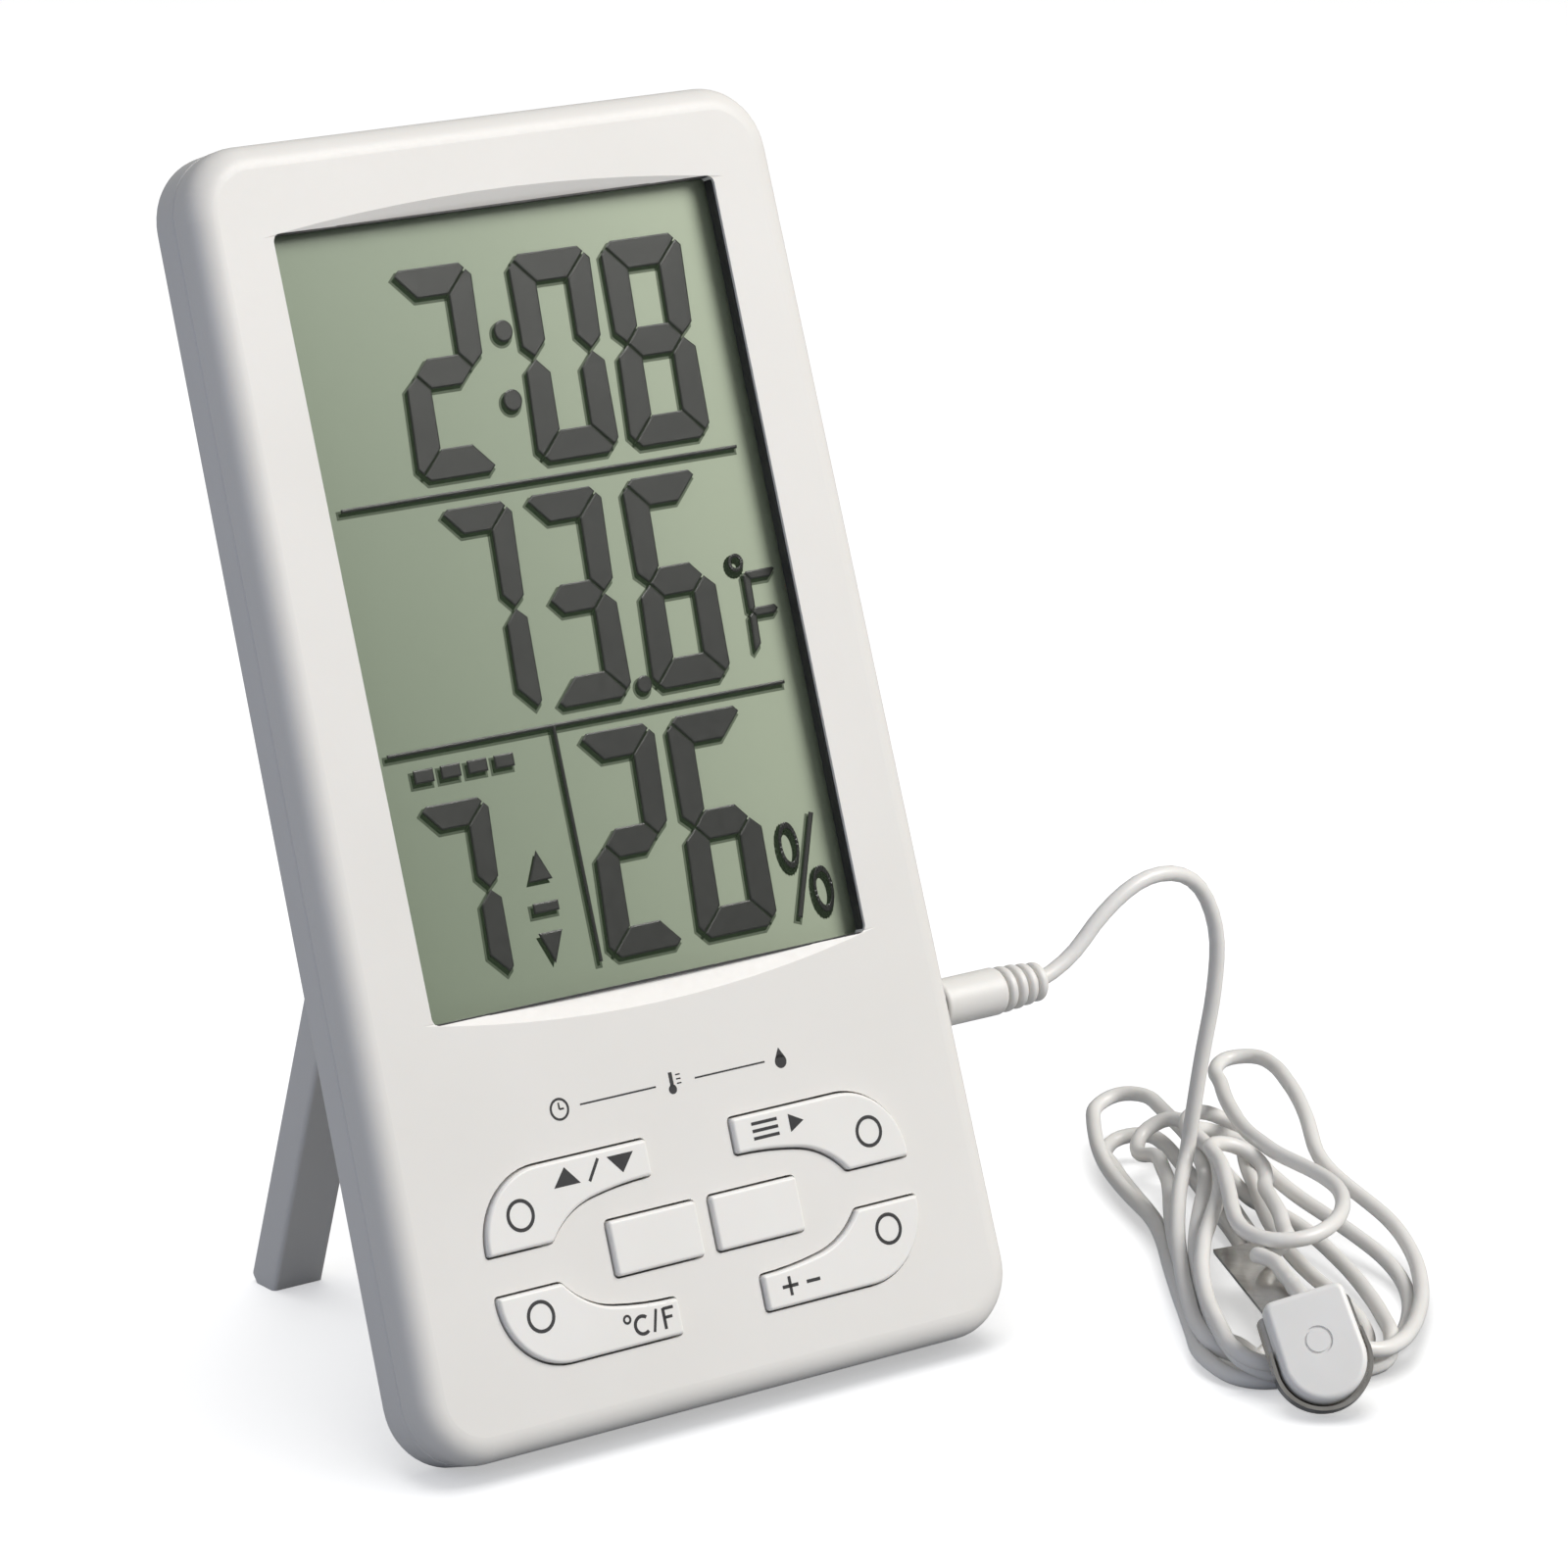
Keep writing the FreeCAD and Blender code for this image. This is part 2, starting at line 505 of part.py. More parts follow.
# ------------------------------------------------------------------ cell, contacts, door, buzzer, wires
CY, CZ = 12.6, 107.0
cell = fuse("cell_body", [cyl("cell_barrel", (-21.4, CY, CZ), "Dims.cell_rad", D["cell_length"], "x"),
                          cyl("cell_nub", (-21.4 + D["cell_length"], CY, CZ), 1.9, 0.9, "x")])
NODES["dry_cell"] = round_edges("dry_cell", cell, lambda e: abs(e.BoundBox.YLength - 2 * D["cell_rad"]) < 0.01 and e.BoundBox.XLength < 1e-3, 0.5)
NODES["plus_contact"] = fuse("plus_contact", [box("plus_plate", (24.4, 8.4, 102.2), (24.9, 16.8, 111.8)),
                                              cyl("plus_dimple", (22.2, CY, CZ), 1.4, 2.3, "x")])
bow = cut("bow_ring", cyl("bow_outside", (-26.2, CY, 103.6), 4.4, 6.8, "z"), cyl("bow_inside", (-26.2, CY, 103.0), 4.0, 8.0, "z"))
NODES["minus_contact"] = fuse("minus_contact", [box("minus_plate", (-24.9, 8.4, 102.2), (-24.4, 16.8, 111.8)),
                                                common("bow_spring", bow, box("bow_limit", (-24.6, 6.0, 103.0), (-21.0, 19.0, 111.0)))])
DT = D["door_thick"]
door = fuse("door_body", [box("door_plate", (-27.0, 18.55, 99.5), (27.0, 18.55 + DT, 120.0)),
                          box("door_tongues", (-27.9, 18.75, 99.5), (27.9, 19.2, 117.5))]
            + [box("door_grip_%d" % i, (-7.0, 19.4, 103.0 + 2.2 * i), (7.0, 20.35, 104.0 + 2.2 * i)) for i in range(4)])
NODES["battery_door"] = door
door.Label = "battery_door"
NODES["buzzer_disc"] = fuse("buzzer_disc", [cyl("buzzer_plate", (0, 17.4, 50.0), 7.5, 0.25), cyl("buzzer_ceramic", (0, 17.0, 50.0), 5.0, 0.45),
                                            torus("buzzer_glue", (0, 17.9, 50.0), 6.6, 0.28, "y")])


def routed(name, pts, dia, floor=None, least=0.45, say=False):
    """A round cord along straight runs joined by tangent arcs as large as the runs allow."""
    P = [V(*p) for p in pts]
    edges, radii, at, length = [], [], P[0], 0.0
    for i in range(1, len(P) - 1):
        a, c = P[i - 1] - P[i], P[i + 1] - P[i]
        la, lc = a.Length, c.Length
        a.normalize()
        c.normalize()
        turn = math.pi - a.getAngle(c)
        t = least * min(la, lc)
        r = t / math.tan(turn / 2.0)
        radii.append(r)
        s_, e_ = P[i] + a * t, P[i] + c * t
        m = a + c
        m.normalize()
        mid = P[i] + m * (r / math.cos(turn / 2.0) - r)
        if (s_ - at).Length > 1e-6:
            edges.append(Part.LineSegment(at, s_).toShape())
        arc = Part.Arc(s_, mid, e_).toShape()
        edges.append(arc)
        at = e_
    edges.append(Part.LineSegment(at, P[-1]).toShape())
    wire = Part.Wire(edges)
    d0 = P[1] - P[0]
    d0.normalize()
    prof = Part.Wire([Part.makeCircle(dia / 2.0, P[0], d0)])
    solid = wire.makePipeShell([prof], True, False, 2)
    o = doc.addObject("Part::Feature", name)
    o.Shape = solid
    want = math.pi * dia * dia / 4 * wire.Length
    if say:
        print(name, "length %.1f" % wire.Length, "volume ratio %.4f" % (solid.Volume / want),
              "radii", [round(r, 1) for r in radii], "turns ok", min(radii) > D["lead_limit_arc"])
    if abs(solid.Volume / want - 1) > 0.01:
        raise RuntimeError(name + " volume")
    return o


NODES["plus_wire"] = routed("plus_wire", [(25.2, 9.2, 99.85), (25.2, 9.2, 95.0), (22.5, 10.5, 90.0), (19.0, 10.2, 85.0), (19.0, BR + 0.02, 85.0)], 1.0)
NODES["minus_wire"] = routed("minus_wire", [(-25.2, 9.2, 99.85), (-25.2, 9.2, 95.0), (-22.5, 10.5, 90.0), (-19.0, 10.2, 85.0), (-19.0, BR + 0.02, 85.0)], 1.0)

# ------------------------------------------------------------------ screws
def screw(name, x, z, head_y, r, head_r, length, pan=1.3):
    sh = cyl(name + "_shank", (x, head_y - length, z), r, length)
    hd = cyl(name + "_head", (x, head_y, z), head_r, pan)
    hr = round_edges(name + "_pan", hd, lambda e: on_depth(e, head_y + pan), 0.4)
    slot = [box(name + "_cross_a", (x - 1.1, head_y + 0.6 * pan, z - 0.22), (x + 1.1, head_y + 2, z + 0.22)),
            box(name + "_cross_b", (x - 0.22, head_y + 0.6 * pan, z - 1.1), (x + 0.22, head_y + 2, z + 1.1))]
    return cut(name, fuse(name + "_body", [sh, hr]), slot)


NODES["case_screws"] = group("case_screws", [screw("case_screw_%d" % i, x, z, 8.02, D["screw_rad"], D["screw_head_rad"], 5.2) for i, (x, z) in enumerate(SCREWS)])
NODES["board_screws"] = group("board_screws", [screw("board_screw_%d" % i, x, z, BR + 0.02, 0.8, 1.8, 4.4, 0.95) for i, (x, z) in enumerate(BOARD_SCREWS)])

# ------------------------------------------------------------------ plug on the lead
PX = 41.15
NODES["plug_pin"] = fuse("plug_pin", [cyl("plug_sleeve", (31.6, PY, PZ), "Dims.plug_pin_rad", PX - 31.6, "x"),
                                      cone("plug_tip", (30.0, PY, PZ), 0.6, D["plug_pin_rad"], 1.6, "x")])
barrel = cyl("plug_barrel_rough", (PX, PY, PZ), "Dims.plug_rad", 9.2, "x")
barrel = round_edges("plug_barrel", barrel, lambda e: e.BoundBox.XLength < 1e-3 and e.BoundBox.YLength > 5, 0.6)
ribs = [cyl("plug_core", (PX + 8.0, PY, PZ), 1.75, 7.4, "x")]
for i, (x, r) in enumerate(((9.55, 2.75), (11.15, 2.65), (12.75, 2.5), (14.35, 2.35))):
    rb_ = cyl("plug_rib_rough_%d" % i, (PX + x, PY, PZ), r, 1.1, "x")
    ribs.append(round_edges("plug_rib_%d" % i, rb_, lambda e: e.BoundBox.XLength < 1e-3 and e.BoundBox.YLength > 3, 0.45))
NODES["plug_overmould"] = fuse("plug_overmould", [barrel] + ribs)
PLUG_END = PX + 15.45

# ------------------------------------------------------------------ stand
lt = D["stand_leg_thick"]
L = D["stand_reach"] + 4.0
legs = []
for sgn, nm in ((-1, "left"), (1, "right")):
    x0, x1 = sorted((sgn * si, sgn * so))
    legs.append(sized(box("stand_leg_" + nm, (x0, HY - lt / 2, HZ - L), (x1, HY + lt / 2, HZ)), Width="Dims.stand_leg_thick", Length="Dims.stand_leg_width"))
bar = [box("stand_bridge", (-so, HY - lt / 2, HZ - 6.0), (so, HY + lt / 2, HZ)),
       cyl("stand_knuckle", (-so, HY, HZ), lt / 2, 2 * so, "x"),
       cyl("stand_pins", (-so - 3.0, HY, HZ), "Dims.hinge_pin_rad", 2 * so + 6.0, "x")]
folded = fuse("stand_folded", legs + bar)
doc.recompute()


def long_edge(e):
    bb = e.BoundBox
    return bb.ZLength > 60 and bb.XLength < 1e-3 and bb.YLength < 1e-3


folded_r = round_edges("stand_rounded", folded, long_edge, 0.6)

# ------------------------------------------------------------------ tilt, floor and origin
def turned(deg):
    """Turn of the folded stand about its hinge."""
    r = ROT(V(1, 0, 0), deg)
    c = V(0, HY, HZ)
    return PLM(c - r.multVec(c), r)


doc.recompute()
tilt = ROT(V(1, 0, 0), -LEAN)


def extent(shape, pl):
    s2 = shape.copy()
    s2.Placement = pl.multiply(s2.Placement)
    return s2.optimalBoundingBox(True, False)


floor = extent(NODES["rear_cover"].Shape, PLM(V(), tilt)).ZMin
# the foot of each leg is cut to lie flat on the floor: a half space below the floor, in the folded stand's axes
to_local = PLM(V(), tilt).inverse()
half = doc.addObject("Part::Box", "floor_block")
half.Length, half.Width, half.Height = 60, 160, 40
fb = turned(D["stand_open_deg"]).inverse().multiply(to_local.multiply(PLM(V(-30, -40, floor - 40), ROT())))
half.Placement = fb
# the rear bottom edge of each foot is bevelled
bevel = doc.addObject("Part::Box", "foot_bevel")
bevel.Length, bevel.Width, bevel.Height = 60, 30, 20
bevel.Placement = turned(D["stand_open_deg"]).inverse().multiply(to_local.multiply(
    PLM(V(-30, 71.0, floor), ROT(V(1, 0, 0), 48)).multiply(PLM(V(0, -10, -20), ROT()))))
st = cut("kickstand", folded_r, [half, bevel])
NODES["kickstand"] = st
doc.recompute()

tilted = PLM(V(0, 0, 0), tilt)
lo, hi = V(1e9, 1e9, 1e9), V(-1e9, -1e9, -1e9)
CORD = ("plug_pin", "plug_overmould")
for name, o in NODES.items():
    if name in CORD:
        continue
    own = turned(D["stand_open_deg"]) if name == "kickstand" else PLM()
    if o.Shape.isNull() or not o.Shape.Solids:
        print("EMPTY", name, o.State)
        continue
    bb = extent(o.Shape, tilted.multiply(own))
    lo = V(min(lo.x, bb.XMin), min(lo.y, bb.YMin), min(lo.z, bb.ZMin))
    hi = V(max(hi.x, bb.XMax), max(hi.y, bb.YMax), max(hi.z, bb.ZMax))
shift = V(-(lo.x + hi.x) / 2, -(lo.y + hi.y) / 2, -lo.z)
MAIN = PLM(shift, tilt)
print("shift", [round(v, 4) for v in shift], "box", [round(v, 2) for v in (lo + shift)], [round(v, 2) for v in (hi + shift)])
for name, o in NODES.items():
    o.Placement = MAIN.multiply(turned(D["stand_open_deg"])) if name == "kickstand" else MAIN.multiply(o.Placement)
    o.Label = name


def row(x, y, z):
    """A local point in the standing frame."""
    return MAIN.multVec(V(x, y, z))


print("hinge", row(0, HY, HZ), "plug end", row(PLUG_END, PY, PZ), "hang", row(0, D["rim_depth"], 131.0), "back face", row(0, BK, 38.0), "inward", tilt.multVec(V(0, 1, 0)), "up", tilt.multVec(V(0, 0, 1)))

# ------------------------------------------------------------------ lead, hank and probe, in the standing frame (floor at zero)
ROUTE = [tuple(row(PLUG_END, PY, PZ)), (61.0, -18.87, 38.2), (66.5, -18.9, 44.0), (73.5, -19.0, 48.3), (81.5, -19.2, 46.6),
         (85.5, -19.8, 39.0), (84.5, -20.8, 30.5), (82.0, -22.0, 22.5), (79.0, -24.0, 15.5), (76.0, -26.5, 10.0)]
NODES["probe_lead"] = routed("probe_lead", ROUTE, D["lead_dia"], say=True)

HANK = [(47, -58), (62, -61), (78, -68), (90, -57), (110, -20), (108, 12), (98, 20), (86, 13), (66, -22)]
w = [g.toShape() for g in outline(rounded_polygon(HANK, 4.0))]
face = Part.Face(Part.Wire(Part.__sortEdges__(w)))
hank = doc.addObject("Part::Feature", "cable_hank")
hank.Shape = face.extrude(V(0, 0, D["hank_height"]))
NODES["cable_hank"] = hank

# the probe leans on the hank: u across it, v up along it, w out of its face
PU, PV, PW = V(0.869, -0.427, 0.251), V(0.042, 0.569, 0.821), V(0, 0, 0)
PW = PU.cross(PV)
PW.normalize()
PU.normalize()
PV = PW.cross(PU)
PO = V(53.5, -77.5, 3.22)
m = FreeCAD.Matrix(PU.x, PV.x, PW.x, PO.x, PU.y, PV.y, PW.y, PO.y, PU.z, PV.z, PW.z, PO.z, 0, 0, 0, 1)
PROBE = PLM(m)
pw, pl = D["probe_width"] / 2, D["probe_length"]


def tongue(name, half, low, high, w0, w1, top_r):
    """A tongue with a round lower end, pulled through its thickness."""
    segs = [("a", (-half, low + half), (0, low), (half, low + half)), ("l", (half, low + half), (half * 0.97, high - top_r)),
            ("a", (half * 0.97, high - top_r), (half * 0.97 - top_r * 0.3, high - top_r * 0.3), (half * 0.97 - top_r, high)),
            ("l", (half * 0.97 - top_r, high), (-half * 0.97 + top_r, high)),
            ("a", (-half * 0.97 + top_r, high), (-half * 0.97 + top_r * 0.3, high - top_r * 0.3), (-half * 0.97, high - top_r)),
            ("l", (-half * 0.97, high - top_r), (-half, low + half))]
    sk = doc.addObject("Sketcher::SketchObject", name + "_outline")
    sk.addGeometry(outline(segs), False)
    o = doc.addObject("Part::Extrusion", name)
    o.Base = sk
    o.DirMode = "Custom"
    o.Dir = V(0, 0, 1)
    o.LengthFwd = w1 - w0
    o.Solid = True
    o.Placement = PLM(V(0, 0, w0), ROT())
    return o


def flat_at(e, w):
    bb = e.BoundBox
    return abs(bb.ZMin - w) < 1e-4 and abs(bb.ZMax - w) < 1e-4


fr = round_edges("probe_front_round", tongue("probe_front_block", pw, 0.0, pl, -1.9, 0.0, 1.0), lambda e: flat_at(e, 0.0), 0.7)
ring = cut("dimple_ring", cyl("dimple_out", (0, 7.0, -0.22), 1.65, 1.0, "z"), cyl("dimple_in", (0, 7.0, -0.5), 1.35, 2.0, "z"))
well = cyl("bead_well_front", (0, 5.0, -2.5), 1.4, 1.6, "z")
NODES["probe_front"] = cut("probe_front", fr, [ring, well])
bk = round_edges("probe_back_round", tongue("probe_back_block", pw, 0.0, pl, -D["probe_thick"], -1.93, 1.0), lambda e: flat_at(e, -D["probe_thick"]), 0.5)
NODES["probe_back"] = cut("probe_back", bk, [cyl("bead_well_back", (0, 5.0, -3.2), 1.4, 3.0, "z")])
bd = doc.addObject("Part::Sphere", "probe_bead")
bd.Radius = 1.05
bd.Placement = PLM(V(0, 5.0, -2.0), ROT())
NODES["probe_bead"] = bd
pt = D["probe_thick"]
plate = tongue("clip_plate", pw + 0.85, -0.85, pl - 1.0, -pt - 0.65, -pt - 0.15, 0.8)
rim = cut("clip_rim", tongue("clip_rim_out", pw + 0.85, -0.85, pl - 5.0, -pt - 0.65, -pt + 1.7, 0.8),
          tongue("clip_rim_in", pw + 0.4, -0.4, pl, -pt - 0.15, 3.0, 0.3))
END = V(73.0, -37.0, 5.4)
A0 = PROBE.multVec(V(-1.2, pl - 1.6, -pt - 0.4))
run = END - A0
ln = run.Length
run.normalize()
side = V(0.8, -0.55, 0.15)
side = side - run * side.dot(run)
side.normalize()
nrm = side.cross(run)
mm = FreeCAD.Matrix(side.x, run.x, nrm.x, A0.x, side.y, run.y, nrm.y, A0.y, side.z, run.z, nrm.z, A0.z, 0, 0, 0, 1)
strap = doc.addObject("Part::Box", "clip_strap")
strap.Length, strap.Width, strap.Height = 6.0, ln, 0.5
strap.Placement = PROBE.inverse().multiply(PLM(mm).multiply(PLM(V(-3.0, 0, -0.25), ROT())))
NODES["probe_clip"] = fuse("probe_clip", [plate, rim, strap])
doc.recompute()
for name in ("probe_front", "probe_back", "probe_bead", "probe_clip"):
    NODES[name].Placement = PROBE.multiply(NODES[name].Placement)
    bb = NODES[name].Shape.optimalBoundingBox(True, False)
    print(name, [round(q, 2) for q in (bb.XMin, bb.YMin, bb.ZMin, bb.XMax, bb.YMax, bb.ZMax)])

# ------------------------------------------------------------------ checks and files
doc.recompute()
for o in doc.Objects:
    if "Invalid" in o.State or "Error" in o.State:
        raise RuntimeError("%s failed: %s" % (o.Name, o.State))
os.makedirs("parts", exist_ok=True)
for name, o in NODES.items():
    o.Label = name
    sh = o.Shape
    if sh.isNull() or not sh.isValid() or not sh.Solids:
        raise RuntimeError("%s has no valid solid" % name)
    if sh.Volume <= 0:
        raise RuntimeError("%s has no volume" % name)
    sh.exportStep(os.path.join("parts", name + ".step"))
print(len(NODES), "sub-parts")
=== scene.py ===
import bpy, bmesh, math
from mathutils import Vector, Matrix


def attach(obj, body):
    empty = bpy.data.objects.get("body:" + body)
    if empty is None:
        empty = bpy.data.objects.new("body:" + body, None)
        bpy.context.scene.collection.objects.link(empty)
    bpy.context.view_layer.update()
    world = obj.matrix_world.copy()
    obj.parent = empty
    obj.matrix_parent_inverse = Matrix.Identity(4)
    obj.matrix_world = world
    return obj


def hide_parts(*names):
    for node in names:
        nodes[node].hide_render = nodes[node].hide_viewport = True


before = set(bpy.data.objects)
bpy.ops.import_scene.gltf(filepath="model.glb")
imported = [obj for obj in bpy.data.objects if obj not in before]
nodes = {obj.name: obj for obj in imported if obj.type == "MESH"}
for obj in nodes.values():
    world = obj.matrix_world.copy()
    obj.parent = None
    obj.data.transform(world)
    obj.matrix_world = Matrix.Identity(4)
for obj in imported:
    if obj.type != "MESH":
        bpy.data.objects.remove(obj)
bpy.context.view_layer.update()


# ---------------------------------------------------------------- frame of the case
COS, SIN = 0.94264149, 0.33380686


def local(x, y, z):
    """A point in the case's own axes (x right, y from the face to the back, z up the face, in mm) as a row point in metres."""
    return Vector((x, COS * y + SIN * z - 36.5265, -SIN * y + COS * z + 2.7565)) / 1000.0


# ---------------------------------------------------------------- materials
def material(name):
    m = bpy.data.materials.new(name)
    m.use_nodes = True
    nt = m.node_tree
    nt.nodes.clear()
    out = nt.nodes.new("ShaderNodeOutputMaterial")
    return m, nt, out


def coords(nt, scale=(1, 1, 1)):
    tc = nt.nodes.new("ShaderNodeTexCoord")
    mp = nt.nodes.new("ShaderNodeMapping")
    mp.inputs["Scale"].default_value = scale
    nt.links.new(tc.outputs["Object"], mp.inputs["Vector"])
    return mp.outputs["Vector"]


def finish_of(name, dark, light, rough=(0.35, 0.45), metallic=0.0, grain=900.0, bump=0.05, depth=0.00002,
              stretch=(1, 1, 1), coat=0.0, sss=0.0, sss_radius=(0.001, 0.0007, 0.0005), ior=1.46, cloud=60.0,
              specular=0.5, coat_rough=0.1, transmission=0.0, anisotropic=0.0):
    """A principled surface whose colour, roughness and relief all vary finely."""
    m, nt, out = material(name)
    N, K = nt.nodes.new, nt.links.new
    bsdf = N("ShaderNodeBsdfPrincipled")
    vec = coords(nt, stretch)
    fine = N("ShaderNodeTexNoise")
    fine.inputs["Scale"].default_value = grain
    fine.inputs["Detail"].default_value = 4.0
    fine.inputs["Roughness"].default_value = 0.55
    wide = N("ShaderNodeTexNoise")
    wide.inputs["Scale"].default_value = cloud
    wide.inputs["Detail"].default_value = 3.0
    K(vec, fine.inputs["Vector"])
    K(vec, wide.inputs["Vector"])
    ramp = N("ShaderNodeValToRGB")
    ramp.color_ramp.elements[0].position = 0.3
    ramp.color_ramp.elements[0].color = (*dark, 1)
    ramp.color_ramp.elements[1].position = 0.7
    ramp.color_ramp.elements[1].color = (*light, 1)
    K(wide.outputs["Fac"], ramp.inputs["Fac"])
    K(ramp.outputs["Color"], bsdf.inputs["Base Color"])
    rng = N("ShaderNodeMapRange")
    rng.inputs["From Min"].default_value = 0.3
    rng.inputs["From Max"].default_value = 0.7
    rng.inputs["To Min"].default_value = rough[0]
    rng.inputs["To Max"].default_value = rough[1]
    K(fine.outputs["Fac"], rng.inputs["Value"])
    K(rng.outputs["Result"], bsdf.inputs["Roughness"])
    bmp = N("ShaderNodeBump")
    bmp.inputs["Strength"].default_value = bump
    bmp.inputs["Distance"].default_value = depth
    K(fine.outputs["Fac"], bmp.inputs["Height"])
    K(bmp.outputs["Normal"], bsdf.inputs["Normal"])
    bsdf.inputs["Metallic"].default_value = metallic
    bsdf.inputs["IOR"].default_value = ior
    bsdf.inputs["Specular IOR Level"].default_value = specular
    bsdf.inputs["Coat Weight"].default_value = coat
    bsdf.inputs["Coat Roughness"].default_value = coat_rough
    bsdf.inputs["Subsurface Weight"].default_value = sss
    bsdf.inputs["Subsurface Radius"].default_value = sss_radius
    bsdf.inputs["Subsurface Scale"].default_value = 1.0
    bsdf.inputs["Transmission Weight"].default_value = transmission
    bsdf.inputs["Anisotropic"].default_value = anisotropic
    K(bsdf.outputs["BSDF"], out.inputs["Surface"])
    return m


CASE = finish_of("case_plastic_look", (0.755, 0.742, 0.715), (0.785, 0.772, 0.748), rough=(0.36, 0.46), grain=1400,
                 bump=0.10, depth=0.00001, sss=0.06, cloud=35)
REAR = finish_of("rear_plastic_look", (0.735, 0.725, 0.705), (0.77, 0.76, 0.742), rough=(0.40, 0.52), grain=1100,
                 bump=0.16, depth=0.000014, sss=0.06, cloud=35)
DISPLAY_PLASTIC = finish_of("display_plastic_look", (0.60, 0.59, 0.56), (0.66, 0.65, 0.62), rough=(0.45, 0.6), bump=0.1)
KEYS = finish_of("key_plastic_look", (0.80, 0.79, 0.765), (0.83, 0.82, 0.80), rough=(0.34, 0.42), grain=1600,
                 bump=0.07, depth=0.000008, sss=0.08, cloud=50)
RESIN = finish_of("black_resin_look", (0.012, 0.012, 0.013), (0.022, 0.022, 0.024), rough=(0.15, 0.3), coat=0.3)
CERAMIC = finish_of("chip_ceramic_look", (0.32, 0.24, 0.15), (0.42, 0.33, 0.22), rough=(0.4, 0.55), grain=2500)
BLACK = finish_of("black_plastic_look", (0.016, 0.016, 0.018), (0.03, 0.03, 0.032), rough=(0.38, 0.5), bump=0.15)
POLYMER = finish_of("white_polymer_look", (0.76, 0.77, 0.78), (0.84, 0.84, 0.84), rough=(0.4, 0.5), bump=0.1)
RUBBER = finish_of("rubber_grey_look", (0.24, 0.245, 0.25), (0.30, 0.305, 0.31), rough=(0.6, 0.75), bump=0.25)
CARBON = finish_of("carbon_black_look", (0.012, 0.012, 0.012), (0.03, 0.03, 0.03), rough=(0.7, 0.85), bump=0.3)
ZINC = finish_of("zinc_steel_look", (0.60, 0.61, 0.62), (0.72, 0.72, 0.71), rough=(0.18, 0.32), metallic=1.0, grain=2200,
                 bump=0.06, stretch=(1, 1, 6))
STEEL = finish_of("probe_steel_look", (0.52, 0.50, 0.475), (0.66, 0.645, 0.62), rough=(0.10, 0.20), metallic=1.0, grain=1500,
                  bump=0.04, depth=0.00001, stretch=(6, 1, 1), cloud=160, anisotropic=0.3)
JACKET = finish_of("cell_jacket_look", (0.03, 0.05, 0.075), (0.05, 0.08, 0.11), rough=(0.25, 0.35), coat=0.4)
BRASS = finish_of("brass_disc_look", (0.66, 0.47, 0.20), (0.78, 0.58, 0.28), rough=(0.2, 0.34), metallic=1.0, bump=0.05)
BOARD = finish_of("board_laminate_look", (0.03, 0.13, 0.055), (0.05, 0.19, 0.08), rough=(0.28, 0.4), coat=0.25, cloud=220)
WIRE_RED = finish_of("wire_red_look", (0.42, 0.02, 0.015), (0.52, 0.03, 0.02), rough=(0.35, 0.45))
WIRE_BLACK = finish_of("wire_black_look", (0.014, 0.014, 0.015), (0.026, 0.026, 0.028), rough=(0.35, 0.45))
LEAD = finish_of("lead_pvc_look", (0.775, 0.765, 0.74), (0.82, 0.81, 0.79), rough=(0.30, 0.40), grain=1300, bump=0.05,
                 depth=0.00001, sss=0.12, cloud=90, coat=0.12, coat_rough=0.25)
PLUG = finish_of("plug_pvc_look", (0.745, 0.735, 0.71), (0.785, 0.775, 0.755), rough=(0.36, 0.46), grain=1200, bump=0.08, sss=0.1)
PROBE = finish_of("probe_plastic_look", (0.80, 0.795, 0.78), (0.84, 0.835, 0.825), rough=(0.32, 0.42), grain=1500, bump=0.06,
                  sss=0.10, cloud=120)
INK = finish_of("ink_look", (0.022, 0.022, 0.024), (0.034, 0.034, 0.036), rough=(0.5, 0.65), bump=0.05)
FILM = finish_of("reflector_look", (0.55, 0.60, 0.52), (0.62, 0.66, 0.58), rough=(0.3, 0.42), metallic=0.35, bump=0.05)
BEAD = finish_of("bead_look", (0.02, 0.02, 0.022), (0.04, 0.04, 0.045), rough=(0.2, 0.3), coat=0.4)


def clear_cover(name):
    """A thin clear window: almost all light passes straight on, with a faint sheen at grazing angles."""
    m, nt, out = material(name)
    N, K = nt.nodes.new, nt.links.new
    fres = N("ShaderNodeFresnel")
    fres.inputs["IOR"].default_value = 1.38
    mul = N("ShaderNodeMath")
    mul.operation = "MULTIPLY"
    mul.inputs[1].default_value = 0.42
    K(fres.outputs["Fac"], mul.inputs[0])
    clear = N("ShaderNodeBsdfTransparent")
    clear.inputs["Color"].default_value = (0.985, 0.99, 0.985, 1)
    gloss = N("ShaderNodeBsdfGlossy")
    gloss.inputs["Roughness"].default_value = 0.09
    noise = N("ShaderNodeTexNoise")
    noise.inputs["Scale"].default_value = 90.0
    K(coords(nt), noise.inputs["Vector"])
    bmp = N("ShaderNodeBump")
    bmp.inputs["Strength"].default_value = 0.03
    bmp.inputs["Distance"].default_value = 0.00002
    K(noise.outputs["Fac"], bmp.inputs["Height"])
    K(bmp.outputs["Normal"], gloss.inputs["Normal"])
    mix = N("ShaderNodeMixShader")
    K(mul.outputs["Value"], mix.inputs["Fac"])
    K(clear.outputs["BSDF"], mix.inputs[1])
    K(gloss.outputs["BSDF"], mix.inputs[2])
    K(mix.outputs["Shader"], out.inputs["Surface"])
    return m


